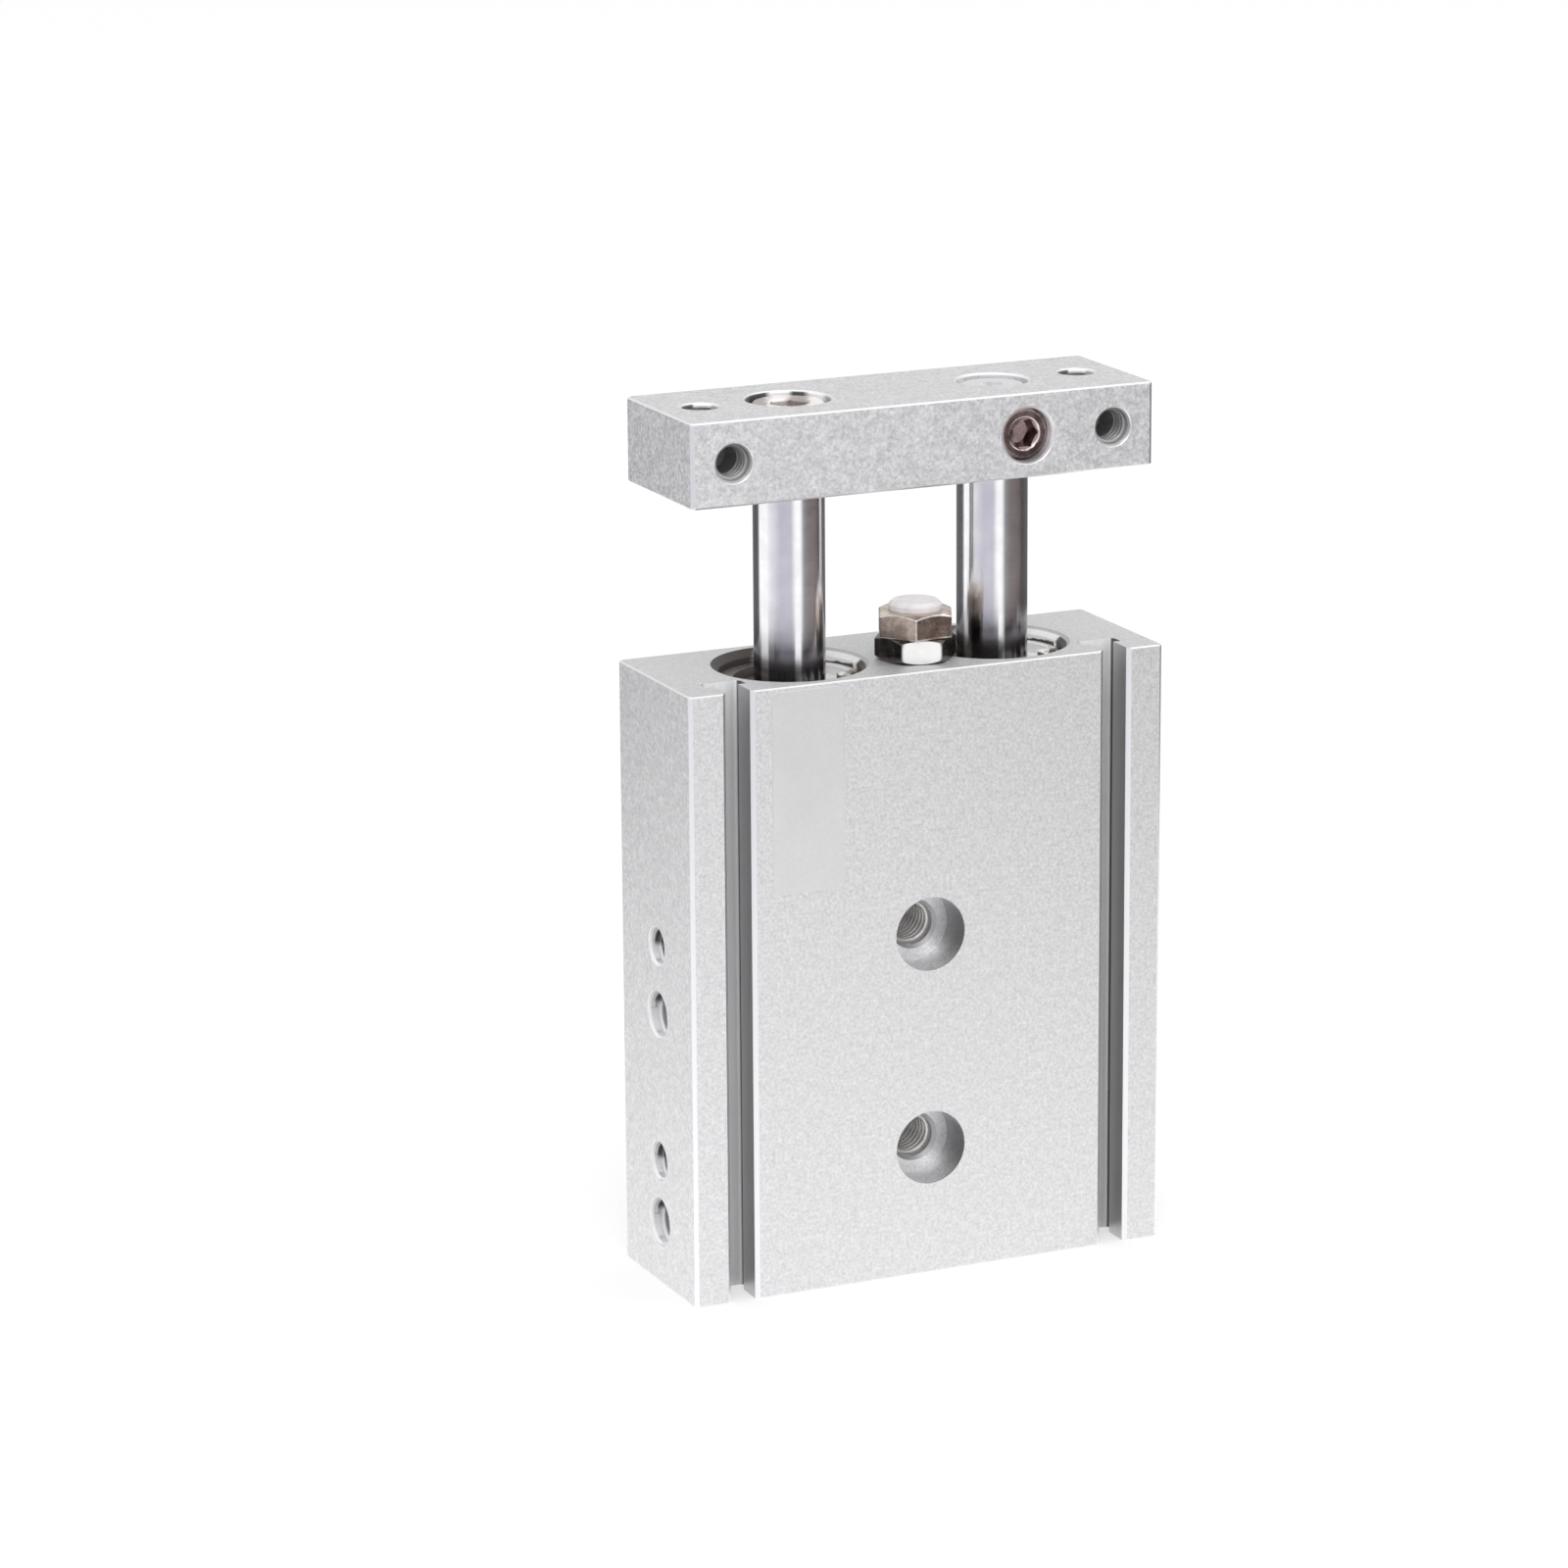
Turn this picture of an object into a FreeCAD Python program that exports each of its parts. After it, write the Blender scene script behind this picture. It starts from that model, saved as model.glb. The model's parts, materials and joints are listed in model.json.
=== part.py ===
"""Twin bore guided pneumatic cylinder with an end plate on two rods, modelled in millimetres.

Frame: +X along the body's width, +Y from the front face to the back, +Z along the rods.
The body stands on its rear end at Z = 0, centred on X = 0 and Y = 0.
The rods are drawn fully extended. They retract along -Z by the stroke.
"""
import FreeCAD
import Part
import math
import os

Vec = FreeCAD.Vector
UP = Vec(0, 0, 1)
DOWN = Vec(0, 0, -1)
LEFT = Vec(-1, 0, 0)
RIGHT = Vec(1, 0, 0)
BACK = Vec(0, 1, 0)
FRONT = Vec(0, -1, 0)

# ---- driving dimensions, in millimetres ----

# motion
stroke = 10.0
retracted_gap = 10.4            # between the body's top face and the plate, rods fully in
piston_end_play = 0.1           # what stays free between a piston and its stop

# body
body_width = 58.0
bore_diameter = 16.0
bore_web = 9.0                  # metal between the two bores
face_wall = 2.0                 # metal between a bore and the front or back face
body_corner_chamfer = 0.4       # along the extrusion
body_end_chamfer = 0.15         # round the sawn ends
bore_mouth_chamfer = 0.8

# T-shaped sensor grooves in the front face
groove_from_side = 5.9          # side face to the groove's centre line
groove_mouth_width = 2.95
groove_mouth_chamfer = 0.45
groove_lip = 3.6                # front face to the undercut
groove_undercut_width = 4.8
groove_depth = 5.4
groove_floor_radius = 0.8

# mounting holes in the body
mount_pitch = 25.0
front_hole_height = 14.8        # rear end to the lower hole through the front face
counterbore_diameter = 8.5
counterbore_depth = 4.6
shoulder_chamfer = 0.35         # cone where the counterbore meets the M5 thread
side_hole_height = 14.4         # rear end to the lower hole in the side faces
side_hole_depth = 6.0

# threads, as nominal diameters
m4 = 4.0
m5 = 5.0
m6 = 6.0
thread_mouth_chamfer = 0.3
thread_end_chamfer = 0.4        # on the ends of screws and spigots
thread_clearance = 0.02         # radial, between a screw and its thread
drill_tip_angle = 118.0

# hexagons and hexagon sockets
hex_chamfer_angle = 30.0        # slope of the turned-off corners
hex_rim_inset = 0.15            # chamfer's rim inside the flats
hex_chamfer_run_out = 0.1       # beyond the corners
socket_lead = 0.25              # depth of a socket's chamfered mouth
socket_lead_rim = 0.1           # that chamfer's foot inside the corners
socket_cone_share = 0.4         # drilled bottom's depth to the socket's radius

# small edges and plays
turned_edge = 0.4               # on covers, rods and urethane discs
piston_edge = 0.3
groove_play = 0.2               # along the axis, on each side of an O-ring

# air ports and the passages that join the two bores
port_depth = 5.0
front_port_setback = 2.2        # rod cover's inner end to the front passage
passage_diameter = 3.0
plug_length = 4.0
plug_recess = 0.4
plug_socket = 2.5

# retaining rings for the bores
clip_thickness = 1.0
clip_groove_depth = 0.4         # radial, into the bore's wall
clip_width = 2.0                # radial width of the ring opposite its gap
clip_lug_room = 0.3             # radial, between a lug and the hole that the rod passes through
clip_lug_hole = 1.7
clip_lug_wall = 0.75            # metal round a lug's hole
clip_gap = 2.6                  # distance between the ring's ends
clip_clearance = 0.05
clip_gap_angle = -42.0          # direction of the gap about each bore, from +X
front_clip_inset = 1.5
rear_clip_inset = 1.0

# rod covers with their bushes, seals and washers
rod_diameter = 8.0
rod_clearance = 0.03            # radial, rod in its bush
rod_passing_clearance = 0.3     # radial, rod through covers and washers
fit_clearance = 0.03            # radial, still parts in the bores and pockets
rod_cover_length = 31.1
bush_wall = 1.0
bush_seat_length = 4.0          # cover left below the bush
grease_room = 2.1               # between the bush and the rod seal
retainer_thickness = 1.2
rod_seal_width = 2.0            # radial
rod_seal_height = 3.0
seal_lip_depth = 1.3            # how deep the U between a seal's lips is
oring_section = 1.5
oring_from_end = 4.0            # cover's inner end to its O-ring's centre
oring_facets = 8                # sides of an O-ring's section

# rear covers
rear_cover_length = 3.7
boss_diameter = 9.6
boss_height = 2.9
rear_bumper_diameter = 7.6
rear_bumper_pocket = 1.2
rear_bumper_proud = 1.0

# pistons
piston_clearance = 0.15         # radial
piston_land_length = 9.8
piston_neck_diameter = 11.0
piston_neck_length = 4.4
piston_bumper_length = 1.2
piston_bumper_diameter = 11.6
piston_seal_from_top = 1.4
piston_seal_height = 2.5
piston_seal_width = 1.9
magnet_from_bottom = 1.4
magnet_height = 2.8
magnet_recess = 0.2             # magnet's rim below the piston's
magnet_floor_wall = 0.8         # metal between the magnet's groove and the nut's pocket
rod_spigot_diameter = 5.0
rod_spigot_shoulder = 5.6       # piston's bottom face to the rod's shoulder
piston_nut_thickness = 2.7
piston_nut_recess = 0.3

# end plate
plate_thickness = 9.5
plate_inset = 1.0               # plate's sides in from the body's sides, all round
plate_corner_chamfer = 0.4
plate_end_chamfer = 0.2
plate_hole_inset = 5.0          # plate's ends to its M4 holes
plate_front_hole_depth = 7.0
head_counterbore_diameter = 9.4
plate_bore_chamfer = 0.25
head_recess = 0.4               # cap screw's head below the plate's top face
screw_hole_clearance = 0.25     # radial, round the cap screw's shank
rod_seat_depth = 1.2            # left rod's end in the plate's underside
rod_end_recess = 0.5            # right rod's end below the plate's top face
rod_end_chamfer = 0.6
rod_hole_clearance = 0.03       # radial, rod ends in the plate
set_screw_socket = 3.0
set_screw_recess = 1.0          # set screw's end below the plate's front face
set_screw_cup_wall = 0.4
rod_flat_depth = 1.0            # spot face on the right rod for the set screw
rod_flat_margin = 0.2           # radial, spot face beyond the set screw
rod_centre_mouth = 1.2          # radius of the centre drilling in the right rod's end
rod_centre_bore = 0.5           # radius of its pilot
rod_centre_depth = 1.6
cap_head_diameter = 8.5
cap_head_height = 5.0
cap_head_socket = 4.0
cap_thread_engagement = 12.0    # cap screw's thread in the left rod

# stroke adjusting bolt
stop_x = 1.3
stop_y = -3.4
hex_across_flats = 8.0
stop_nut_thickness = 2.8
stop_head_height = 2.8
stop_shank_length = 14.0        # in the body
stop_bumper_diameter = 5.9
stop_bumper_pocket = 1.4
stop_bumper_proud = 1.0
nut_flat_angle = -114.0         # direction that one flat of the nut faces, from +X
head_corner_angle = -114.0      # direction that one corner of the bolt's head faces

# ---- dimensions worked out from those above ----

past = 1.0                      # how far a cutter runs past the face that it opens

rod_pitch = bore_diameter + bore_web
body_depth = bore_diameter + 2 * face_wall
plate_width = body_width - 2 * plate_inset
plate_depth = body_depth - 2 * plate_inset
plate_hole_pitch = plate_width - 2 * plate_hole_inset

bore_radius = bore_diameter / 2
rod_radius = rod_diameter / 2
rod_passing_radius = rod_radius + rod_passing_clearance
bore_xs = {"left": -rod_pitch / 2, "right": rod_pitch / 2}

rear_cover_z = rear_clip_inset + clip_thickness
rear_cover_top_z = rear_cover_z + rear_cover_length
rear_stop_z = rear_cover_top_z + boss_height + rear_bumper_proud
piston_length = piston_land_length + piston_neck_length + piston_bumper_length
piston_z = rear_stop_z + piston_end_play + stroke
rod_cover_z = piston_z + piston_length + piston_end_play
retainer_z = rod_cover_z + rod_cover_length
front_clip_z = retainer_z + retainer_thickness
body_length = front_clip_z + clip_thickness + front_clip_inset

port_heights = {
    "rear": rear_cover_top_z + passage_diameter / 2,
    "front": rod_cover_z - front_port_setback - passage_diameter / 2,
}

plate_z = body_length + retracted_gap + stroke
plate_top_z = plate_z + plate_thickness
plate_mid_z = plate_z + plate_thickness / 2
body_front_y = -body_depth / 2
plate_front_y = -plate_depth / 2

rod_shoulder_z = piston_z + rod_spigot_shoulder
left_rod_top_z = plate_z + rod_seat_depth
right_rod_top_z = plate_top_z - rod_end_recess
head_seat_z = plate_top_z - head_recess - cap_head_height
cap_shank_length = head_seat_z - left_rod_top_z + cap_thread_engagement
set_screw_tip_y = rod_flat_depth - rod_radius
set_screw_length = set_screw_tip_y - plate_front_y - set_screw_recess

stop_head_z = body_length + stop_nut_thickness
stop_head_top_z = stop_head_z + stop_head_height


# ---- shapes used again and again ----

def turned(points):
    """Solid turned about the Z axis from a closed outline of (radius, height) points."""
    corners = [Vec(radius, 0, height) for radius, height in points]
    outline = Part.makePolygon(corners + corners[:1])
    return Part.Face(outline).revolve(Vec(0, 0, 0), UP, 360)


def tube(outer_radius, inner_radius, height):
    return turned([
        (inner_radius, 0),
        (outer_radius, 0),
        (outer_radius, height),
        (inner_radius, height),
    ])


def at(shape, x=0.0, y=0.0, z=0.0):
    moved = shape.copy()
    moved.translate(Vec(x, y, z))
    return moved


def aimed(shape, point, direction):
    """Turns a shape that is made along +Z to lie along direction, from point."""
    turned_shape = shape.copy()
    turned_shape.Placement = FreeCAD.Placement(point, FreeCAD.Rotation(UP, direction))
    return turned_shape


def spun(shape, angle):
    """Turns a shape about the Z axis."""
    turned_shape = shape.copy()
    turned_shape.rotate(Vec(0, 0, 0), UP, angle)
    return turned_shape


def hexagon(across_flats, height):
    """Hexagonal prism on Z = 0 with a corner towards +X."""
    radius = across_flats / math.sqrt(3)
    corners = []
    for step in range(6):
        angle = step * math.pi / 3
        corners.append(Vec(radius * math.cos(angle), radius * math.sin(angle), 0))
    return Part.Face(Part.makePolygon(corners + corners[:1])).extrude(Vec(0, 0, height))


def chamfered_hexagon(across_flats, height, chamfer_both_ends):
    """Hexagon with its corners turned off at 30 degrees, at the top or at both ends."""
    corner = across_flats / math.sqrt(3)
    rim = across_flats / 2 - hex_rim_inset
    reach = corner + hex_chamfer_run_out
    fall = (reach - rim) * math.tan(math.radians(hex_chamfer_angle))
    outline = [(0, 0), (reach, 0), (reach, height - fall), (rim, height), (0, height)]
    if chamfer_both_ends:
        outline[1:2] = [(rim, 0), (reach, fall)]
    return hexagon(across_flats, height).common(turned(outline))


def hole_cutter(diameter, depth, mouth_chamfer, pointed=True):
    """Drilled hole along +Z from a face at Z = 0, with a 45 degree mouth and a drill's point."""
    radius = diameter / 2
    tip = radius / math.tan(math.radians(drill_tip_angle / 2)) if pointed else 0.0
    outline = [
        (0, -past),
        (radius + mouth_chamfer + past, -past),
        (radius, mouth_chamfer),
        (radius, depth),
    ]
    if pointed:
        outline.append((0, depth + tip))
    else:
        outline.append((0, depth))
    return turned(outline)


def socket_cutter(across_flats, depth):
    """Hexagon socket downwards from Z = 0 with a lead-in and a conical bottom."""
    flat = across_flats / 2
    foot = across_flats / math.sqrt(3) - socket_lead_rim
    sides = at(hexagon(across_flats, depth + past), z=-depth)
    cone = turned([(0, -depth - flat * socket_cone_share), (flat, -depth), (0, -depth)])
    rim = foot + socket_lead + past
    mouth = turned([(0, -socket_lead), (foot, -socket_lead), (rim, past), (0, past)])
    return sides.fuse([cone, mouth])


def chamfered_box(width, depth, height, corner_chamfer, end_chamfer):
    """Box on Z = 0, with one chamfer on its upright edges and another round its two ends."""
    box = Part.makeBox(width, depth, height, Vec(-width / 2, -depth / 2, 0))
    upright = [edge for edge in box.Edges if edge.BoundBox.ZLength > height / 2]
    box = box.makeChamfer(corner_chamfer, upright)
    level = [edge for edge in box.Edges if edge.BoundBox.ZLength < height / 2]
    return box.makeChamfer(end_chamfer, level)


def retaining_ring(gap_angle):
    """Internal retaining ring in its groove, lying on Z = 0 about the bore's axis."""
    outer = bore_radius + clip_groove_depth - clip_clearance
    lug_radius = clip_lug_hole / 2 + clip_lug_wall
    lug_place = rod_passing_radius + clip_lug_room + lug_radius
    lug_side = clip_gap / 2 + lug_radius
    taper = clip_width * 0.2
    ring = Part.makeCylinder(outer, clip_thickness)
    window = at(Part.makeCylinder(outer - clip_width + taper, clip_thickness), x=taper)
    ring = ring.cut(window)
    lugs = []
    for side in (-1, 1):
        lug = Part.makeCylinder(lug_radius, clip_thickness)
        arm = Part.makeBox(outer - lug_place, 2 * lug_radius, clip_thickness, Vec(0, -lug_radius, 0))
        lugs.append(at(lug.fuse(arm), lug_place, side * lug_side))
    inside_bore = Part.makeCylinder(bore_radius - clip_clearance, clip_thickness)
    ring = ring.fuse([lug.common(inside_bore) for lug in lugs])
    gap = Part.makeBox(bore_diameter, clip_gap, clip_thickness, Vec(0, -clip_gap / 2, 0))
    ring = ring.cut(gap)
    for side in (-1, 1):
        eye = Part.makeCylinder(clip_lug_hole / 2, clip_thickness)
        ring = ring.cut(at(eye, lug_place, side * lug_side))
    return spun(ring.removeSplitter(), gap_angle)


def oring(floor_radius, wall_radius):
    """O-ring that fills the room between its groove's floor and the wall it seals on."""
    section = (wall_radius - floor_radius) / 2 - fit_clearance
    centre = (wall_radius + floor_radius) / 2
    outline = []
    for step in range(oring_facets):
        angle = 2 * math.pi * step / oring_facets
        outline.append((centre + section * math.cos(angle), section * math.sin(angle)))
    return turned(outline)


def lip_seal(inner_radius, outer_radius, height, lip_depth):
    """U-cup on Z = 0 with its lips towards -Z."""
    middle = (inner_radius + outer_radius) / 2
    slit = (outer_radius - inner_radius) * 0.16
    lean = (outer_radius - inner_radius) * 0.1
    return turned([
        (inner_radius, 0.2),
        (inner_radius + 0.15, 0),
        (middle - slit, 0),
        (middle, lip_depth),
        (middle + slit, 0),
        (outer_radius - 0.15, 0),
        (outer_radius, 0.2),
        (outer_radius - lean, lip_depth),
        (outer_radius - lean, height),
        (inner_radius + lean, height),
        (inner_radius + lean, lip_depth),
    ])


# ---- body ----

def groove_cutter():
    """T-shaped sensor groove along Z, with its centre line on X = 0 in the front face."""
    half = groove_mouth_width / 2
    mouth = half + groove_mouth_chamfer
    wide = groove_undercut_width / 2
    lip = body_front_y + groove_lip
    floor = body_front_y + groove_depth
    corner = floor - groove_floor_radius
    bulge = groove_floor_radius * (1 - math.sqrt(0.5))
    left_turn = Part.Arc(
        Vec(-wide, corner, 0),
        Vec(-wide + bulge, floor - bulge, 0),
        Vec(-wide + groove_floor_radius, floor, 0),
    )
    right_turn = Part.Arc(
        Vec(wide - groove_floor_radius, floor, 0),
        Vec(wide - bulge, floor - bulge, 0),
        Vec(wide, corner, 0),
    )
    left_side = [
        Vec(-mouth - past, body_front_y - past, 0),
        Vec(-half, body_front_y + groove_mouth_chamfer, 0),
        Vec(-half, lip, 0),
        Vec(-wide, lip, 0),
        Vec(-wide, corner, 0),
    ]
    right_side = [Vec(-point.x, point.y, 0) for point in reversed(left_side)]
    edges = [Part.makeLine(a, b) for a, b in zip(left_side, left_side[1:])]
    edges += [left_turn.toShape()]
    edges += [Part.makeLine(left_turn.EndPoint, right_turn.StartPoint)]
    edges += [right_turn.toShape()]
    edges += [Part.makeLine(a, b) for a, b in zip(right_side, right_side[1:])]
    edges += [Part.makeLine(right_side[-1], left_side[0])]
    profile = Part.Face(Part.Wire(edges))
    profile.translate(Vec(0, 0, -past))
    return profile.extrude(Vec(0, 0, body_length + 2 * past))


def bore_cutter():
    """One bore with its mouths and its two ring grooves, from the rear end upwards."""
    mouth = bore_radius + bore_mouth_chamfer
    ring_radius = bore_radius + clip_groove_depth
    ring_play = clip_clearance
    return turned([
        (0, -past),
        (mouth + past, -past),
        (bore_radius, bore_mouth_chamfer),
        (bore_radius, rear_clip_inset - ring_play),
        (ring_radius, rear_clip_inset - ring_play),
        (ring_radius, rear_cover_z),
        (bore_radius, rear_cover_z),
        (bore_radius, front_clip_z),
        (ring_radius, front_clip_z),
        (ring_radius, front_clip_z + clip_thickness + ring_play),
        (bore_radius, front_clip_z + clip_thickness + ring_play),
        (bore_radius, body_length - bore_mouth_chamfer),
        (mouth + past, body_length + past),
        (0, body_length + past),
    ])


def through_mount_cutters():
    """M5 holes through from front to back, counterbored from both faces."""
    radius = m5 / 2
    half = body_depth / 2
    wide = counterbore_diameter / 2
    face = half - counterbore_depth
    lip = radius + shoulder_chamfer
    profile = [
        (0, -half - past),
        (wide, -half - past),
        (wide, -face),
        (lip, -face),
        (radius, -face + shoulder_chamfer),
        (radius, face - shoulder_chamfer),
        (lip, face),
        (wide, face),
        (wide, half + past),
        (0, half + past),
    ]
    cutters = []
    for row in range(2):
        height = front_hole_height + row * mount_pitch
        cutters.append(aimed(turned(profile), Vec(0, 0, height), BACK))
    return cutters


def side_mount_cutters():
    """M4 blind holes in both side faces."""
    cutter = hole_cutter(m4, side_hole_depth, thread_mouth_chamfer)
    cutters = []
    for row in range(2):
        height = side_hole_height + row * mount_pitch
        cutters.append(aimed(cutter, Vec(-body_width / 2, 0, height), RIGHT))
        cutters.append(aimed(cutter, Vec(body_width / 2, 0, height), LEFT))
    return cutters


def port_cutters():
    """M5 ports in both side faces, and the passages that run through both bores between them."""
    cutter = hole_cutter(m5, port_depth, thread_mouth_chamfer)
    cutters = []
    for height in port_heights.values():
        cutters.append(aimed(cutter, Vec(-body_width / 2, 0, height), RIGHT))
        cutters.append(aimed(cutter, Vec(body_width / 2, 0, height), LEFT))
        passage = Part.makeCylinder(passage_diameter / 2, body_width - 2 * port_depth)
        cutters.append(aimed(passage, Vec(-body_width / 2 + port_depth, 0, height), RIGHT))
    return cutters


def make_body():
    block = chamfered_box(body_width, body_depth, body_length, body_corner_chamfer, body_end_chamfer)
    cutters = []
    for side in (-1, 1):
        cutters.append(at(groove_cutter(), x=side * (body_width / 2 - groove_from_side)))
    for x in bore_xs.values():
        cutters.append(at(bore_cutter(), x=x))
    cutters += through_mount_cutters()
    cutters += side_mount_cutters()
    cutters += port_cutters()
    stop_hole = hole_cutter(m5, stop_shank_length + 1, thread_mouth_chamfer)
    cutters.append(aimed(stop_hole, Vec(stop_x, stop_y, body_length), DOWN))
    return block.cut(cutters)


def make_port_plugs():
    """Socket set plugs in the right side face's ports."""
    radius = m5 / 2 - thread_clearance
    edge = thread_end_chamfer
    blank = turned([
        (0, 0),
        (radius - edge, 0),
        (radius, edge),
        (radius, plug_length - edge),
        (radius - edge, plug_length),
        (0, plug_length),
    ])
    plug = blank.cut(at(socket_cutter(plug_socket, plug_length / 2), z=plug_length))
    outer_face = body_width / 2 - plug_recess
    plugs = []
    for height in port_heights.values():
        plugs.append(aimed(plug, Vec(outer_face - plug_length, 0, height), RIGHT))
    return Part.makeCompound(plugs)


# ---- rod end of each bore ----

cover_radius = bore_radius - fit_clearance
cover_oring_floor = bore_radius - oring_section
seal_pocket_radius = rod_radius + rod_clearance + rod_seal_width
seal_pocket_floor = rod_cover_length - rod_seal_height - fit_clearance
bush_outer_radius = rod_radius + rod_clearance + bush_wall
bush_length = seal_pocket_floor - bush_seat_length - grease_room
oring_groove_half = oring_section / 2 + groove_play


def make_rod_cover():
    """Rod cover on Z = 0, with a bush seat, a seal pocket at its top and an O-ring groove."""
    edge = turned_edge
    return turned([
        (rod_passing_radius, 0),
        (cover_radius - edge, 0),
        (cover_radius, edge),
        (cover_radius, oring_from_end - oring_groove_half),
        (cover_oring_floor, oring_from_end - oring_groove_half),
        (cover_oring_floor, oring_from_end + oring_groove_half),
        (cover_radius, oring_from_end + oring_groove_half),
        (cover_radius, rod_cover_length),
        (seal_pocket_radius + fit_clearance, rod_cover_length),
        (seal_pocket_radius + fit_clearance, seal_pocket_floor),
        (bush_outer_radius + fit_clearance, seal_pocket_floor),
        (bush_outer_radius + fit_clearance, bush_seat_length),
        (rod_passing_radius, bush_seat_length),
    ])


def make_guide_bush():
    lead = 0.2
    inner = rod_radius + rod_clearance
    return turned([
        (inner + lead, 0),
        (bush_outer_radius, 0),
        (bush_outer_radius, bush_length),
        (inner + lead, bush_length),
        (inner, bush_length - lead),
        (inner, lead),
    ])


def make_rod_seal():
    return lip_seal(rod_radius + rod_clearance, seal_pocket_radius, rod_seal_height, seal_lip_depth)


def make_seal_retainer():
    """Washer between the rod cover and the retaining ring, dished round the rod."""
    dish = 0.5
    return turned([
        (rod_passing_radius, 0),
        (cover_radius, 0),
        (cover_radius, retainer_thickness),
        (rod_passing_radius + dish, retainer_thickness),
        (rod_passing_radius, retainer_thickness - dish),
    ])


# ---- rear end of each bore ----

def make_rear_cover():
    """Rear cover on Z = 0 with a boss that holds the bumper."""
    edge = turned_edge
    middle = rear_cover_length / 2
    pocket = rear_bumper_diameter / 2 + fit_clearance
    top = rear_cover_length + boss_height
    return turned([
        (0, 0),
        (cover_radius - edge, 0),
        (cover_radius, edge),
        (cover_radius, middle - oring_groove_half),
        (cover_oring_floor, middle - oring_groove_half),
        (cover_oring_floor, middle + oring_groove_half),
        (cover_radius, middle + oring_groove_half),
        (cover_radius, rear_cover_length - edge),
        (cover_radius - edge, rear_cover_length),
        (boss_diameter / 2, rear_cover_length),
        (boss_diameter / 2, top),
        (pocket, top),
        (pocket, top - rear_bumper_pocket),
        (0, top - rear_bumper_pocket),
    ])


def bumper_disc(diameter, height):
    """Urethane disc on Z = 0 with a softened top rim."""
    radius = diameter / 2
    edge = turned_edge
    return turned([(0, 0), (radius, 0), (radius, height - edge), (radius - edge, height), (0, height)])


# ---- pistons ----

piston_radius = bore_radius - piston_clearance
seal_floor_radius = bore_radius - piston_seal_width - fit_clearance
seal_groove_top = piston_land_length - piston_seal_from_top
seal_groove_bottom = seal_groove_top - piston_seal_height
nut_pocket_radius = hex_across_flats / math.sqrt(3) + 0.1
nut_pocket_depth = piston_nut_thickness + piston_nut_recess
magnet_floor_radius = nut_pocket_radius + magnet_floor_wall
magnet_top = magnet_from_bottom + magnet_height


def make_piston():
    """Piston on Z = 0: a land with seal and magnet grooves, and a neck below its bumper."""
    edge = piston_edge
    play = fit_clearance
    neck_top = piston_land_length + piston_neck_length
    rod_pocket = rod_radius + fit_clearance
    return turned([
        (nut_pocket_radius, 0),
        (piston_radius - edge, 0),
        (piston_radius, edge),
        (piston_radius, magnet_from_bottom - play),
        (magnet_floor_radius, magnet_from_bottom - play),
        (magnet_floor_radius, magnet_top + play),
        (piston_radius, magnet_top + play),
        (piston_radius, seal_groove_bottom - play),
        (seal_floor_radius, seal_groove_bottom - play),
        (seal_floor_radius, seal_groove_top + play),
        (piston_radius, seal_groove_top + play),
        (piston_radius, piston_land_length - edge),
        (piston_radius - edge, piston_land_length),
        (piston_neck_diameter / 2, piston_land_length),
        (piston_neck_diameter / 2, neck_top),
        (rod_pocket, neck_top),
        (rod_pocket, rod_spigot_shoulder),
        (rod_spigot_diameter / 2 + play, rod_spigot_shoulder),
        (rod_spigot_diameter / 2 + play, nut_pocket_depth),
        (nut_pocket_radius, nut_pocket_depth),
    ])


def make_piston_seal():
    """Double-lipped piston seal that runs on the bore."""
    inner = seal_floor_radius + fit_clearance
    outer = bore_radius - fit_clearance
    land = piston_radius - 0.2
    lip = 0.5
    middle = piston_seal_height / 2
    return turned([
        (inner, 0),
        (land, 0),
        (outer, lip),
        (land, middle),
        (outer, piston_seal_height - lip),
        (land, piston_seal_height),
        (inner, piston_seal_height),
    ])


def make_magnet():
    return tube(piston_radius - magnet_recess, magnet_floor_radius + fit_clearance, magnet_height)


def make_piston_bumper():
    return tube(piston_bumper_diameter / 2, rod_radius + fit_clearance, piston_bumper_length)


def make_piston_nuts():
    """Nuts on the rods' spigots, in the pistons' bottom pockets."""
    blank = chamfered_hexagon(hex_across_flats, piston_nut_thickness, True)
    hole = Part.makeCylinder(rod_spigot_diameter / 2 + thread_clearance, piston_nut_thickness)
    nut = blank.cut(hole)
    return Part.makeCompound([at(nut, x, 0, piston_z + piston_nut_recess) for x in bore_xs.values()])


# ---- rods and end plate ----

def rod_outline(top_z):
    """Outline of a rod from its threaded spigot in the piston up to top_z."""
    spigot = rod_spigot_diameter / 2
    edge = turned_edge
    spigot_z = piston_z + piston_nut_recess
    return [
        (0, spigot_z),
        (spigot - edge, spigot_z),
        (spigot, spigot_z + edge),
        (spigot, rod_shoulder_z),
        (rod_radius - edge, rod_shoulder_z),
        (rod_radius, rod_shoulder_z + edge),
        (rod_radius, top_z - rod_end_chamfer),
        (rod_radius - rod_end_chamfer, top_z),
        (0, top_z),
    ]


def make_left_rod():
    """Rod with a threaded hole for the plate's cap screw."""
    hole = hole_cutter(m5, cap_thread_engagement + 1, thread_mouth_chamfer)
    return turned(rod_outline(left_rod_top_z)).cut(aimed(hole, Vec(0, 0, left_rod_top_z), DOWN))


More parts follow.
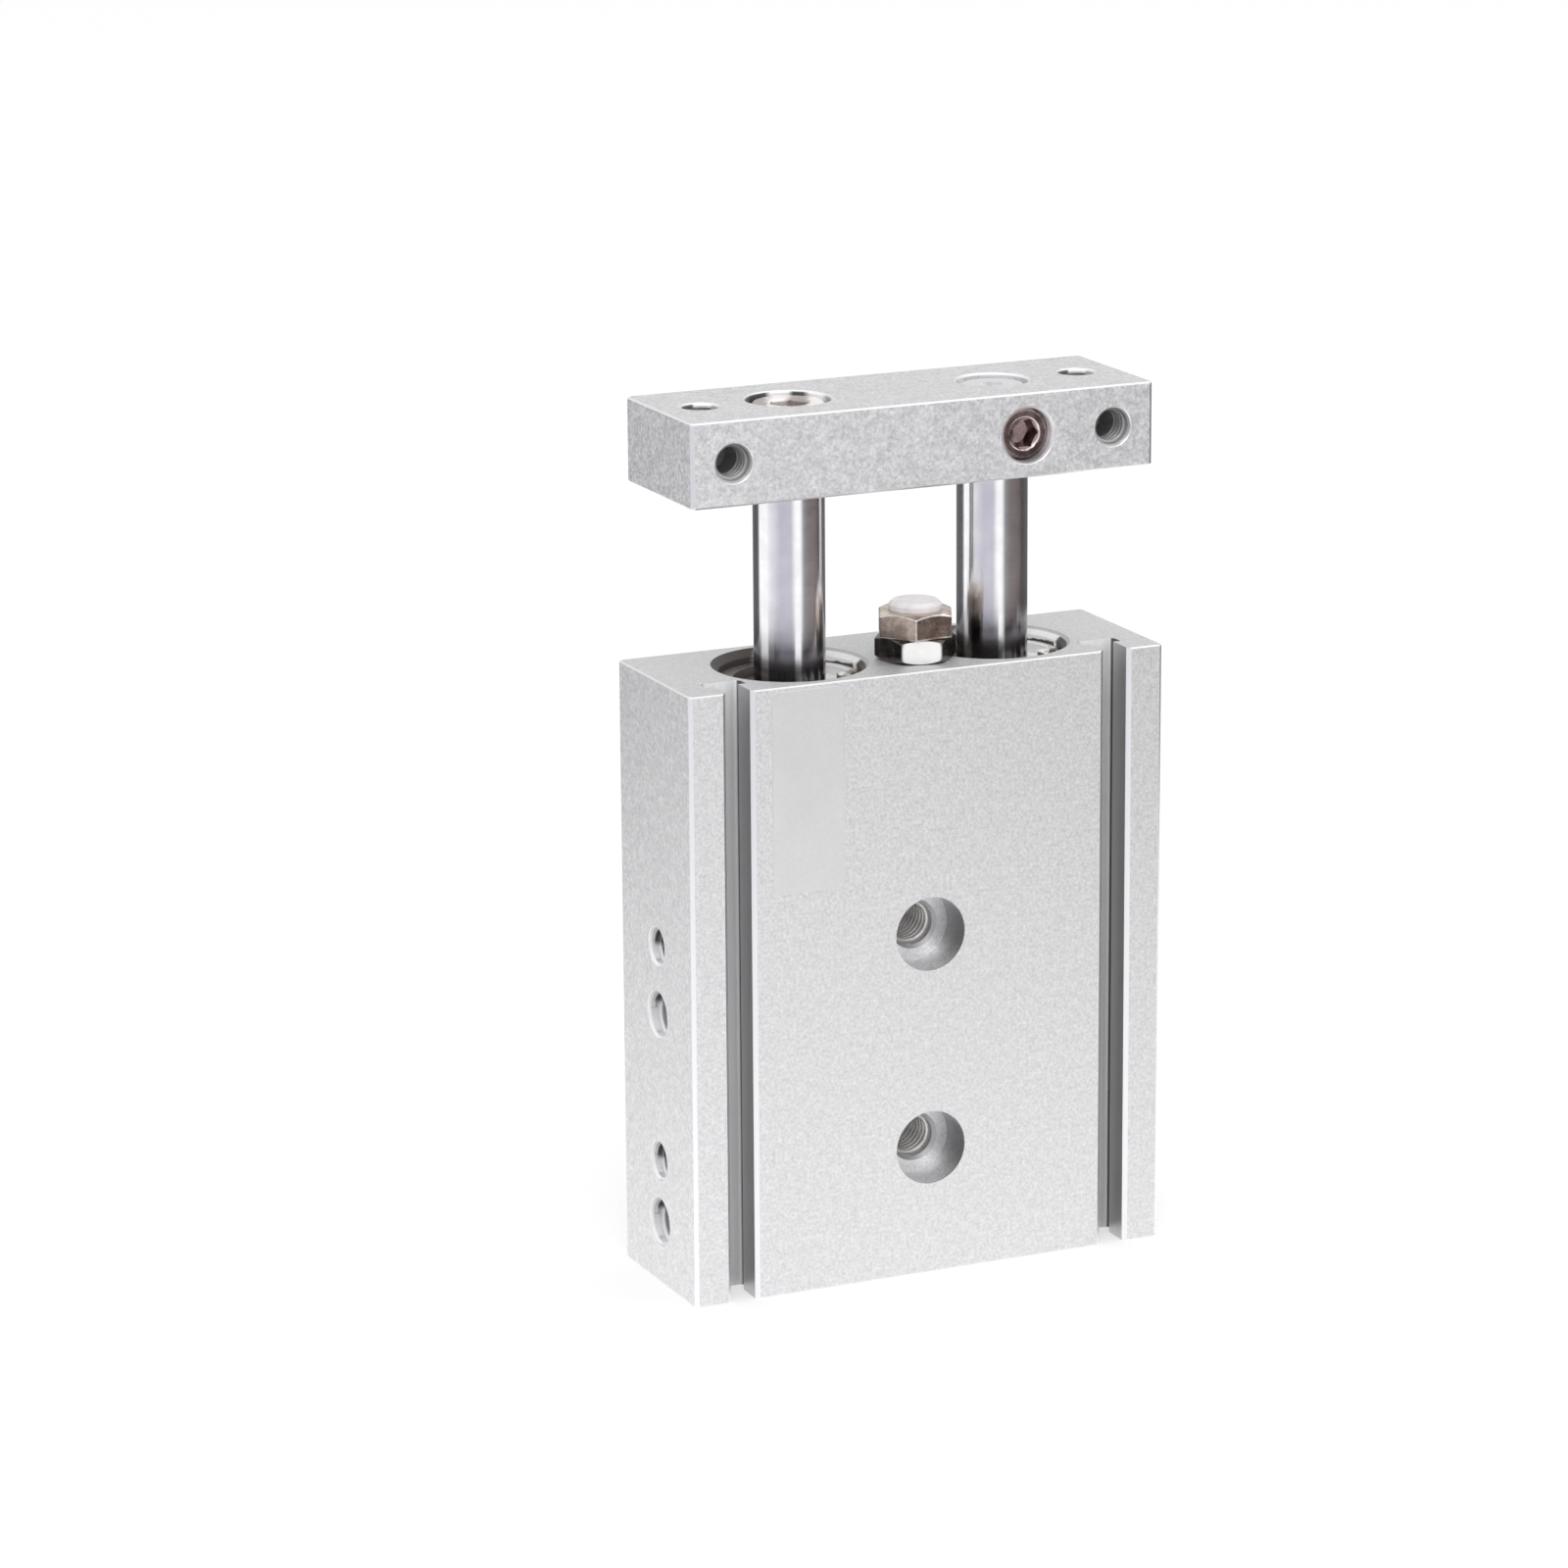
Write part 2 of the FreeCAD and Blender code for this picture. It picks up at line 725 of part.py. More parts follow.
def make_right_rod():
    """Rod with a spot-faced seat for the plate's set screw and a centre drilling in its end."""
    seat = Part.makeCylinder(m6 / 2 + rod_flat_margin, rod_diameter)
    rod = turned(rod_outline(right_rod_top_z))
    rod = rod.cut(aimed(seat, Vec(0, set_screw_tip_y + thread_clearance, plate_mid_z), FRONT))
    centre = turned([
        (0, past),
        (rod_centre_mouth, past),
        (rod_centre_mouth, 0),
        (rod_centre_bore, rod_centre_bore - rod_centre_mouth),
        (rod_centre_bore, -rod_centre_depth),
        (0, -rod_centre_depth),
    ])
    return rod.cut(at(centre, z=right_rod_top_z))


def make_end_plate():
    plate = chamfered_box(
        plate_width, plate_depth, plate_thickness, plate_corner_chamfer, plate_end_chamfer
    )
    plate = at(plate, z=plate_z)
    left_x = bore_xs["left"]
    right_x = bore_xs["right"]
    cutters = []
    through_m4 = hole_cutter(m4, plate_thickness + past, thread_mouth_chamfer, pointed=False)
    front_m4 = hole_cutter(m4, plate_front_hole_depth, thread_mouth_chamfer)
    for side in (-1, 1):
        x = side * plate_hole_pitch / 2
        cutters.append(aimed(through_m4, Vec(x, 0, plate_top_z), DOWN))
        cutters.append(aimed(front_m4, Vec(x, plate_front_y, plate_mid_z), BACK))
    head_depth = plate_top_z - head_seat_z
    head_well = hole_cutter(head_counterbore_diameter, head_depth, plate_bore_chamfer, pointed=False)
    cutters.append(aimed(head_well, Vec(left_x, 0, plate_top_z), DOWN))
    shank_way = Part.makeCylinder(m5 / 2 + screw_hole_clearance, plate_thickness + 2 * past)
    cutters.append(at(shank_way, left_x, 0, plate_z - past))
    seat_radius = rod_radius + rod_hole_clearance
    cutters.append(at(Part.makeCylinder(seat_radius, rod_seat_depth + past), left_x, 0, plate_z - past))
    rod_way = hole_cutter(2 * seat_radius, plate_thickness + past, plate_bore_chamfer, pointed=False)
    cutters.append(aimed(rod_way, Vec(right_x, 0, plate_top_z), DOWN))
    set_screw_way = hole_cutter(m6, plate_depth / 2, thread_mouth_chamfer, pointed=False)
    cutters.append(aimed(set_screw_way, Vec(right_x, plate_front_y, plate_mid_z), BACK))
    return plate.cut(cutters)


def make_plate_screw():
    """Socket head cap screw, head upwards, with its seat on Z = 0."""
    head = cap_head_diameter / 2
    shank = m5 / 2 - thread_clearance
    edge = thread_end_chamfer
    blank = turned([
        (0, -cap_shank_length),
        (shank - edge, -cap_shank_length),
        (shank, -cap_shank_length + edge),
        (shank, 0),
        (head, 0),
        (head, cap_head_height - edge),
        (head - edge, cap_head_height),
        (0, cap_head_height),
    ])
    return blank.cut(at(socket_cutter(cap_head_socket, cap_head_height / 2), z=cap_head_height))


def make_set_screw():
    """Hexagon socket set screw along +Z, with its cup point on Z = 0."""
    radius = m6 / 2 - thread_clearance
    edge = thread_end_chamfer
    cup = radius - edge - set_screw_cup_wall
    blank = turned([
        (0, edge),
        (cup, 0),
        (radius - edge, 0),
        (radius, edge),
        (radius, set_screw_length - edge),
        (radius - edge, set_screw_length),
        (0, set_screw_length),
    ])
    return blank.cut(at(socket_cutter(set_screw_socket, set_screw_length / 2), z=set_screw_length))


# ---- stroke adjusting bolt ----

def make_stop_nut():
    blank = chamfered_hexagon(hex_across_flats, stop_nut_thickness, True)
    hole = Part.makeCylinder(m5 / 2 + thread_clearance, stop_nut_thickness)
    return spun(blank.cut(hole), nut_flat_angle - 30)


def make_stop_bolt():
    """Hexagon head bolt with the head's underside on Z = 0 and a pocket for the bumper."""
    shank = m5 / 2 - thread_clearance
    length = stop_nut_thickness + stop_shank_length
    edge = thread_end_chamfer
    stem = turned([
        (0, -length),
        (shank - edge, -length),
        (shank, -length + edge),
        (shank, 0),
        (0, 0),
    ])
    head = spun(chamfered_hexagon(hex_across_flats, stop_head_height, False), head_corner_angle)
    pocket = Part.makeCylinder(stop_bumper_diameter / 2 + fit_clearance, stop_head_height)
    bolt = head.fuse(stem).cut(at(pocket, z=stop_head_height - stop_bumper_pocket))
    return bolt.removeSplitter()


# ---- assembly ----

def make_parts():
    """Every sub-part in its place, by node name."""
    parts = {
        "body": make_body(),
        "port_plugs": make_port_plugs(),
        "end_plate": make_end_plate(),
        "rod_left": at(make_left_rod(), x=bore_xs["left"]),
        "rod_right": at(make_right_rod(), x=bore_xs["right"]),
        "plate_screw": at(make_plate_screw(), bore_xs["left"], 0, head_seat_z),
        "plate_set_screw": aimed(
            make_set_screw(), Vec(bore_xs["right"], set_screw_tip_y, plate_mid_z), FRONT
        ),
        "piston_nuts": make_piston_nuts(),
        "stop_nut": at(make_stop_nut(), stop_x, stop_y, body_length),
        "stop_bolt": at(make_stop_bolt(), stop_x, stop_y, stop_head_z),
        "stop_bumper": at(
            bumper_disc(stop_bumper_diameter, stop_bumper_pocket + stop_bumper_proud),
            stop_x, stop_y, stop_head_top_z - stop_bumper_pocket,
        ),
    }
    rear_top = rear_cover_top_z + boss_height
    in_each_bore = {
        "rod_cover": (make_rod_cover(), rod_cover_z),
        "guide_bush": (make_guide_bush(), rod_cover_z + bush_seat_length),
        "rod_cover_oring": (oring(cover_oring_floor, bore_radius), rod_cover_z + oring_from_end),
        "rod_seal": (make_rod_seal(), retainer_z - rod_seal_height),
        "seal_retainer": (make_seal_retainer(), retainer_z),
        "front_clip": (retaining_ring(clip_gap_angle), front_clip_z),
        "rear_cover": (make_rear_cover(), rear_cover_z),
        "rear_cover_oring": (oring(cover_oring_floor, bore_radius), rear_cover_z + rear_cover_length / 2),
        "rear_bumper": (
            bumper_disc(rear_bumper_diameter, rear_bumper_pocket + rear_bumper_proud),
            rear_top - rear_bumper_pocket,
        ),
        "rear_clip": (retaining_ring(clip_gap_angle), rear_clip_inset),
        "piston": (make_piston(), piston_z),
        "piston_seal": (make_piston_seal(), piston_z + seal_groove_bottom),
        "magnet": (make_magnet(), piston_z + magnet_from_bottom),
        "piston_bumper": (
            make_piston_bumper(), piston_z + piston_land_length + piston_neck_length
        ),
    }
    for name, (shape, height) in in_each_bore.items():
        for side, x in bore_xs.items():
            parts[name + "_" + side] = at(shape, x, 0, height)
    return parts


os.makedirs("parts", exist_ok=True)
for node, solid in make_parts().items():
    solid.exportStep("parts/" + node + ".step")
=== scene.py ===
"""Finishes, threads, lock nut, label film, studio and camera for the twin-rod guided cylinder.

Lengths are in metres in the CAD frame: +X along the body's width, +Y to the back, +Z along the rods.
Inside materials, positions are in millimetres.
"""

import bmesh
import bpy
import json
import math
from mathutils import Matrix, Vector


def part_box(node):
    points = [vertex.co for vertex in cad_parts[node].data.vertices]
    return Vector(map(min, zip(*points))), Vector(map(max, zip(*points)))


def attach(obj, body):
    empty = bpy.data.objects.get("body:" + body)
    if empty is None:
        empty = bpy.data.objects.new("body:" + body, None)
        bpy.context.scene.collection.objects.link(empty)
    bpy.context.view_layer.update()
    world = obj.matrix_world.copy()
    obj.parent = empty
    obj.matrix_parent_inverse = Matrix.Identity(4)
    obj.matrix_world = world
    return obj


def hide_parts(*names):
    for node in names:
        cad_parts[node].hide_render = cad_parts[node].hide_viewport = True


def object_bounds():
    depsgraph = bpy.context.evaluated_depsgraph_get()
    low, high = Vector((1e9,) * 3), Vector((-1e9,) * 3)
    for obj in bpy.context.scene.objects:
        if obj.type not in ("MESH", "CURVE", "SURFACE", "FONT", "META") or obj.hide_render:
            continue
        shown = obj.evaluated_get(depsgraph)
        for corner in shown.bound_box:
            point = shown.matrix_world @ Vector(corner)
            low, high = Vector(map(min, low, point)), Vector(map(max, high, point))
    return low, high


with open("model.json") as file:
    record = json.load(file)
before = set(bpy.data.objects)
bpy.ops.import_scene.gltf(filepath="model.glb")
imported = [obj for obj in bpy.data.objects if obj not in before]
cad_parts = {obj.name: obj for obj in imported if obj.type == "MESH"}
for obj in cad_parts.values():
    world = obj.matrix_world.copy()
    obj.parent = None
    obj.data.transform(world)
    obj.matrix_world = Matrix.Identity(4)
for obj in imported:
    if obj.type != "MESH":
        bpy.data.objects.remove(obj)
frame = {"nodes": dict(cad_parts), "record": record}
cad_low, cad_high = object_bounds()
nodes = frame["nodes"]
mounts = {mount["name"]: mount for mount in frame["record"]["mounts"]}
scene = bpy.context.scene

body_low, body_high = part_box("body")
plate_low, plate_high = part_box("end_plate")
rod_low, rod_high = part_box("rod_right")
nut_low, nut_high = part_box("stop_nut")
CENTRE = (cad_low + cad_high) / 2
MM = 1000.0    # millimetres in a metre


def pattern(name):
    """Centres of a bolt pattern's holes, from its mount."""
    mount = mounts[name]
    centre = Vector(mount["pos_m"])
    dims = mount["dims"]
    along = Vector((1, 0, 0)) if "spacing_x_mm" in dims else Vector((0, 0, 1))
    spacing = dims.get("spacing_x_mm") or dims["spacing_y_mm"]
    return [centre + along * side * spacing / 2 / MM for side in (-1, 1)]


# places that materials work with, in millimetres
BODY_SIDE, BODY_FRONT, BODY_TOP = body_high.x * MM, body_low.y * MM, body_high.z * MM
PLATE_FRONT, PLATE_FOOT, PLATE_TOP = plate_low.y * MM, plate_low.z * MM, plate_high.z * MM
BORE_X = (rod_low.x + rod_high.x) / 2 * MM
ROD_END = rod_high.z * MM
GROOVE_X = mounts["sensor_groove_right"]["pos_m"][0] * MM
GROOVE_LIP, GROOVE_DEPTH, GROOVE_HALF_WIDTH = 3.6, 5.4, 2.4    # lip, floor and undercut of the T
SCREW_HOLES_Z = [hole.z * MM for hole in pattern("front_screw_holes")]
SIDE_HOLES_Z = [hole.z * MM for hole in pattern("side_screw_holes_left")]
PORTS_Z = [mounts[name]["pos_m"][2] * MM for name in ("rear_air_port", "front_air_port")]
PLATE_HOLES_X = pattern("plate_top_screw_holes")[1].x * MM
PLATE_HOLES_Z = pattern("plate_front_screw_holes")[1].z * MM


# ---- building material graphs ----

class Graph:
    """Shorthand for adding nodes to a tree. A value may be a number, a colour or another node's output."""

    def __init__(self, tree):
        self.tree = tree

    def add(self, kind, inputs=None, **settings):
        node = self.tree.nodes.new(kind)
        for name, value in settings.items():
            setattr(node, name, value)
        for key, value in (inputs or {}).items():
            if isinstance(value, bpy.types.NodeSocket):
                self.tree.links.new(value, node.inputs[key])
            else:
                node.inputs[key].default_value = value
        return node

    def math(self, operation, first, second=0.0, third=0.0):
        node = self.add("ShaderNodeMath", {0: first, 1: second, 2: third}, operation=operation)
        return node.outputs[0]

    def total(self, *values):
        result = values[0]
        for value in values[1:]:
            result = self.math("ADD", result, value)
        return result

    def product(self, *values):
        result = values[0]
        for value in values[1:]:
            result = self.math("MULTIPLY", result, value)
        return result

    def least(self, *values):
        result = values[0]
        for value in values[1:]:
            result = self.math("MINIMUM", result, value)
        return result

    def most(self, *values):
        result = values[0]
        for value in values[1:]:
            result = self.math("MAXIMUM", result, value)
        return result

    def step(self, value, low, high):
        """0 below low and 1 above high, smoothly. With low above high it falls instead."""
        node = self.add("ShaderNodeMapRange", {"Value": value, "From Min": low, "From Max": high},
                        interpolation_type="SMOOTHSTEP")
        return node.outputs["Result"]

    def inside(self, distance, radius):
        """1 within a radius and 0 beyond it."""
        return self.step(distance, radius + 0.05, radius - 0.05)

    def under(self, coordinate, face, depth=0.1):
        """1 where the coordinate is at least a depth below a face, and 0 at the face."""
        return self.step(coordinate, face - depth + 0.08, face - depth)

    def span(self, value, from_low, from_high, to_low, to_high):
        node = self.add("ShaderNodeMapRange", {
            "Value": value, "From Min": from_low, "From Max": from_high, "To Min": to_low, "To Max": to_high,
        })
        return node.outputs["Result"]

    def mix(self, factor, first, second):
        node = self.add("ShaderNodeMix", {0: factor, 6: first, 7: second}, data_type="RGBA")
        return node.outputs[2]

    def blend(self, factor, first, second):
        node = self.add("ShaderNodeMix", {0: factor, 2: first, 3: second}, data_type="FLOAT")
        return node.outputs[0]

    def scaled(self, vector, factor):
        """Position or colour times a factor."""
        node = self.add("ShaderNodeVectorMath", {0: vector, "Scale": factor}, operation="SCALE")
        return node.outputs[0]

    def stretched(self, vector, scale):
        node = self.add("ShaderNodeVectorMath", {0: vector, 1: scale}, operation="MULTIPLY")
        return node.outputs[0]

    def noise(self, vector, scale, detail=2.0, roughness=0.5):
        node = self.add("ShaderNodeTexNoise", {
            "Vector": vector, "Scale": scale, "Detail": detail, "Roughness": roughness,
        })
        return node.outputs["Fac"]

    def ramp(self, factor, stops):
        """Colour ramp from (position, colour) stops, where a colour is a grey number or three numbers."""
        node = self.add("ShaderNodeValToRGB", {"Fac": factor})
        elements = node.color_ramp.elements
        while len(elements) < len(stops):
            elements.new(1.0)
        for element, (position, colour) in zip(elements, stops):
            element.position = position
            element.color = rgba(colour)
        return node.outputs["Color"]

    def bump(self, height, distance, strength=1.0, rounding=0.0):
        """Surface normal with relief, and with edges rounded off where rounding is given."""
        inputs = {"Height": height, "Distance": distance, "Strength": strength}
        if rounding:
            inputs["Normal"] = self.add("ShaderNodeBevel", {"Radius": rounding}, samples=6).outputs["Normal"]
        return self.add("ShaderNodeBump", inputs).outputs["Normal"]

    def edge_band(self, radius):
        """1 along convex and concave edges, within about radius, and 0 on open faces."""
        rounded = self.add("ShaderNodeBevel", {"Radius": radius}, samples=6).outputs["Normal"]
        facing = self.add("ShaderNodeNewGeometry").outputs["Normal"]
        agreement = self.add("ShaderNodeVectorMath", {0: rounded, 1: facing}, operation="DOT_PRODUCT")
        return self.step(agreement.outputs["Value"], 0.98, 0.88)

    def along(self, direction, vector):
        """How far a position or normal reaches along a direction in the CAD frame."""
        node = self.add("ShaderNodeVectorMath", {0: vector, 1: direction}, operation="DOT_PRODUCT")
        return node.outputs["Value"]

    def facing(self, direction):
        """How far the surface faces a direction in the CAD frame, from -1 to 1."""
        return self.along(direction, self.add("ShaderNodeTexCoord").outputs["Normal"])

    def off_square(self):
        """1 on faces that slope away from all three axes, such as chamfers, and 0 on square faces."""
        normal = self.add("ShaderNodeTexCoord").outputs["Normal"]
        apart = self.add("ShaderNodeSeparateXYZ", {0: normal})
        sizes = [self.math("ABSOLUTE", apart.outputs[axis]) for axis in range(3)]
        return self.step(self.most(*sizes), 0.97, 0.85)

    def tones(self, factor, stops):
        """Grey value from (position, grey) stops."""
        return self.add("ShaderNodeRGBToBW", {0: self.ramp(factor, stops)}).outputs[0]

    def places(self):
        """Position in millimetres in the CAD frame, as a vector and as x, y and z."""
        source = self.add("ShaderNodeTexCoord").outputs["Object"]
        place = self.scaled(source, MM)
        apart = self.add("ShaderNodeSeparateXYZ", {0: place})
        return place, apart.outputs[0], apart.outputs[1], apart.outputs[2]

    def distance(self, first, first_centre, second, second_centre):
        """Distance in the plane of two coordinates from a point."""
        across = self.math("SUBTRACT", first, first_centre)
        along = self.math("SUBTRACT", second, second_centre)
        return self.math("SQRT", self.total(self.product(across, across), self.product(along, along)))


def rgba(colour):
    if isinstance(colour, (int, float)):
        return (colour, colour, colour, 1.0)
    return (*colour, 1.0)


def empty_material(name):
    """Material without any nodes, and its graph."""
    material = bpy.data.materials.new(name)
    material.use_nodes = True
    material.node_tree.nodes.clear()
    return material, Graph(material.node_tree)


def new_material(name):
    """Material with a Principled shader. Returns it with its graph and its shader."""
    material, graph = empty_material(name)
    shader = graph.add("ShaderNodeBsdfPrincipled")
    graph.add("ShaderNodeOutputMaterial", {"Surface": shader.outputs[0]})
    return material, graph, shader


def join(graph, value, shader, socket):
    graph.tree.links.new(value, shader.inputs[socket])


# ---- materials ----

ASIDE = (0.911, -0.412, 0.0)    # level, to the camera's right: painted light, shade and reflections lie side by side along it


def grain(graph, place, sparkle=0.2):
    """Sand-blasted sparkle: a factor round 1 from grains of 0.2 to 0.5 mm."""
    fine = graph.noise(place, 2.6, 2.0, 0.65)
    coarse = graph.noise(place, 0.9)
    return graph.total(
        graph.span(fine, 0.2, 0.8, -sparkle, sparkle),
        graph.span(coarse, 0.2, 0.8, -0.06, 0.06),
        1.0,
    )


def across_axes(graph, offset):
    """Distance along ASIDE from the nearer of two upright axes, at offset along X to each side."""
    place, x = graph.places()[:2]
    axis = graph.product(graph.math("SIGN", x), offset * ASIDE[0])
    return graph.math("SUBTRACT", graph.along(ASIDE, place), axis)


def painted_light_half(graph, place, x):
    """1 on the right half of each bore's mouth, painted as lit, and 0 on the left half, painted dark as
    shade.
    """
    drift = graph.noise(place, 0.5)
    beside = graph.math("SUBTRACT", x, graph.product(graph.math("SIGN", x), BORE_X))
    return graph.step(graph.math("ADD", beside, graph.span(drift, 0.0, 1.0, -1.5, 1.5)), -1.2, 1.2)


def sensor_grooves(graph, place, far_x, y):
    """Masks of the grooves and of their undercuts, and a painted shade, with draw lines along Z as extruded.

    They start below the mouth's chamfers and leave out the faces at the grooves' ends. The shade is painted
    light and shade: darker lip walls, a pale undercut floor and a dark line in its corners.
    """
    depth = graph.math("SUBTRACT", y, BODY_FRONT)
    across = graph.math("ABSOLUTE", graph.math("SUBTRACT", far_x, GROOVE_X))
    upright = graph.step(graph.math("ABSOLUTE", graph.facing((0, 0, 1))), 0.8, 0.5)
    mask = graph.product(
        graph.step(across, GROOVE_HALF_WIDTH + 0.1, GROOVE_HALF_WIDTH + 0.05),
        graph.step(depth, 0.42, 0.5), graph.step(depth, GROOVE_DEPTH + 0.1, GROOVE_DEPTH + 0.05), upright,
    )
    undercut = graph.product(mask, graph.step(depth, GROOVE_LIP - 0.1, GROOVE_LIP + 0.05))
    # painted shadow: a dark line along the undercut's corners, with the lip walls painted darker than the
    # floor
    corner = graph.step(across, GROOVE_HALF_WIDTH - 0.45, GROOVE_HALF_WIDTH - 0.25)
    lines = graph.noise(graph.stretched(place, (3.0, 3.0, 0.02)), 1.0, 3.0, 0.6)
    shade = graph.blend(undercut, 0.5, graph.blend(corner, 0.99, 0.12))
    return mask, undercut, graph.product(shade, graph.span(lines, 0.25, 0.75, 0.9, 1.12))


def counterbores(graph, x, far_y, z, blasted):
    """Mask and shade of the counterbores in front and back, and of the screw holes between them.

    Their shade is painted light and shade: walls darker on the right and next to the face, pale shoulders and
    darker screw holes.
    """
    radius = graph.least(*(graph.distance(x, 0.0, z, height) for height in SCREW_HOLES_Z))
    mask = graph.product(graph.inside(radius, 4.35), graph.under(far_y, -BODY_FRONT))
    shoulder = graph.step(graph.math("ABSOLUTE", graph.facing((0, 1, 0))), 0.5, 0.8)
    # painted shade on the walls, darker to the right and next to the face; pale shoulders
    wall = graph.blend(graph.step(x, 2.4, 4.3), 0.74, 0.33)
    wall = graph.blend(graph.step(far_y, -BODY_FRONT - 0.28, -BODY_FRONT - 0.14), wall, 0.34)
    shade = graph.product(graph.blend(shoulder, wall, 0.93), blasted)
    return mask, graph.blend(graph.inside(radius, 2.9), shade, 0.62)


def side_holes(graph, far_x, y, z, heights, reach, foot, level):
    """Mask and shade of two holes in each side face: within reach of their axes, from the face to foot.

    Past the mouth they are painted pale below a level and dark above it, as light and shade. The level is
    measured from their axes.
    """
    radius = graph.least(*(graph.distance(y, 0.0, z, height) for height in heights))
    within = graph.product(graph.under(far_x, BODY_SIDE), graph.step(far_x, foot - 0.2, foot + 0.2))
    half_pitch = (heights[1] - heights[0]) / 2
    above = graph.math("WRAP", graph.math("SUBTRACT", z, heights[0]), half_pitch, -half_pitch)
    past_mouth = graph.step(far_x, BODY_SIDE - 0.5, BODY_SIDE - 0.8)
    # painted light and shade: dark above the level, pale below it
    dark = graph.product(past_mouth, graph.step(above, level - 0.4, level + 0.4))
    return graph.product(graph.inside(radius, reach), within), graph.blend(dark, 0.97, 0.2)


def bore_mouths(graph, place, x, y, z):
    """Mask, shade and dark part of the bores: one half painted light, darker below a ragged line, the other
    painted dark as shade.
    """
    radius = graph.distance(graph.math("ABSOLUTE", x), BORE_X, y, 0.0)
    under_ends = graph.most(graph.under(z, BODY_TOP), graph.step(z, 0.02, 0.1))
    mask = graph.product(graph.inside(radius, 8.83), under_ends)
    ragged = graph.span(graph.noise(place, 0.9), 0.2, 0.8, -0.5, 0.5)
    ragged_y = graph.math("ADD", y, ragged)
    below_top = graph.math("SUBTRACT", z, BODY_TOP)
    # darker below a ragged line: just under the top in front, about a millimetre down behind
    front_dark_below = graph.product(graph.step(ragged_y, -0.1, -0.7), graph.step(below_top, -0.2, -0.4))
    tilted = graph.total(below_top, graph.product(y, 0.08), graph.product(ragged, 0.3))
    back_dark_below = graph.product(graph.step(tilted, -0.85, -1.05), graph.step(ragged_y, 0.2, 0.6))
    dark_below_line = graph.most(front_dark_below, back_dark_below)
    light_half = painted_light_half(graph, place, x)
    painted_dark_parts = graph.product(mask, graph.most(graph.math("SUBTRACT", 1.0, light_half), dark_below_line))
    # painted light and shade: a grey ring at the top of the wall, near-white below it, and a dark left half
    rim_painted_shade = graph.blend(graph.step(below_top, -0.35, -0.2), 0.99, 0.55)
    turning = graph.noise(graph.stretched(place, (0.15, 6.0, 0.15)), 1.0, 2.0, 0.6)
    shade = graph.blend(light_half, 0.085, graph.blend(dark_below_line, rim_painted_shade, 0.06))
    return mask, graph.product(shade, graph.span(turning, 0.25, 0.75, 0.9, 1.06)), painted_dark_parts


def anodised_body():
    """Clear anodised and sand-blasted aluminium, with its own look in each groove, hole and bore."""
    material, graph, shader = new_material("anodised_body")
    place, x, y, z = graph.places()
    far_x = graph.math("ABSOLUTE", x)
    far_y = graph.math("ABSOLUTE", y)
    blasted = grain(graph, place)
    groove, undercut, groove_painted_shade = sensor_grooves(graph, place, far_x, y)
    counterbore, counterbore_painted_shade = counterbores(graph, x, far_y, z, blasted)
    hole, hole_painted_shade = side_holes(graph, far_x, y, z, SIDE_HOLES_Z, reach=2.35, foot=22.0, level=-0.3)
    port, port_painted_shade = side_holes(graph, far_x, y, z, PORTS_Z, reach=2.85, foot=20.8, level=0.8)
    bore, bore_painted_shade, painted_dark_parts = bore_mouths(graph, place, x, y, z)
    cut = graph.most(counterbore, hole, port, groove, bore)
    highlit_chamfer = graph.product(graph.off_square(), graph.math("SUBTRACT", 1.0, cut))
    top_painted_darker = graph.step(graph.facing((0, 0, 1)), 0.8, 0.95)

    # painted shade and highlight: top faces darker and chamfers paler; grooves, holes and bores take their
    # own painted light and shade
    shade = graph.product(graph.blend(top_painted_darker, 0.77, 0.645), blasted)
    for mask, own_shade in ((highlit_chamfer, 0.9), (groove, groove_painted_shade), (counterbore, counterbore_painted_shade),
                            (hole, hole_painted_shade), (port, port_painted_shade), (bore, bore_painted_shade)):
        shade = graph.blend(mask, shade, own_shade)
    # the dark part of each bore is tinted brown
    tint = graph.mix(painted_dark_parts, rgba((1.0, 1.0, 1.01)), rgba((1.0, 0.9, 0.82)))
    join(graph, graph.scaled(tint, shade), shader, "Base Color")

    metallic = 1.0
    for mask, own_metallic in ((undercut, 0.1), (graph.most(hole, port), 0.05), (bore, 0.15), (top_painted_darker, 0.65)):
        metallic = graph.blend(mask, metallic, own_metallic)
    join(graph, metallic, shader, "Metallic")

    roughness = graph.span(blasted, 0.8, 1.2, 0.5, 0.62)
    for mask, own_roughness in ((highlit_chamfer, 0.4), (groove, 0.35), (graph.most(hole, port), 0.36),
                                (graph.most(counterbore, bore), 0.52)):
        roughness = graph.blend(mask, roughness, own_roughness)
    join(graph, roughness, shader, "Roughness")
    join(graph, graph.bump(graph.blend(cut, blasted, 1.0), 0.00006, 0.35), shader, "Normal")
    return material


def plate_end_holes(graph, x, y, z):
    """Mask and shade of the two screw holes in the plate's top, as painted light and shade: pale middles
    between darker sides.
    """
    radius = graph.distance(graph.math("ABSOLUTE", x), PLATE_HOLES_X, y, 0.0)
    mask = graph.product(graph.inside(radius, 2.15), graph.under(z, PLATE_TOP, 0.2))
    off_axis = across_axes(graph, PLATE_HOLES_X)
    shade = graph.blend(graph.step(z, PLATE_TOP - 0.45, PLATE_TOP - 0.6), 0.98, 0.14)
    shade = graph.blend(graph.step(off_axis, -0.6, -1.0), shade, 0.14)
    return mask, graph.blend(graph.step(off_axis, 1.0, 1.3), shade, 0.6)


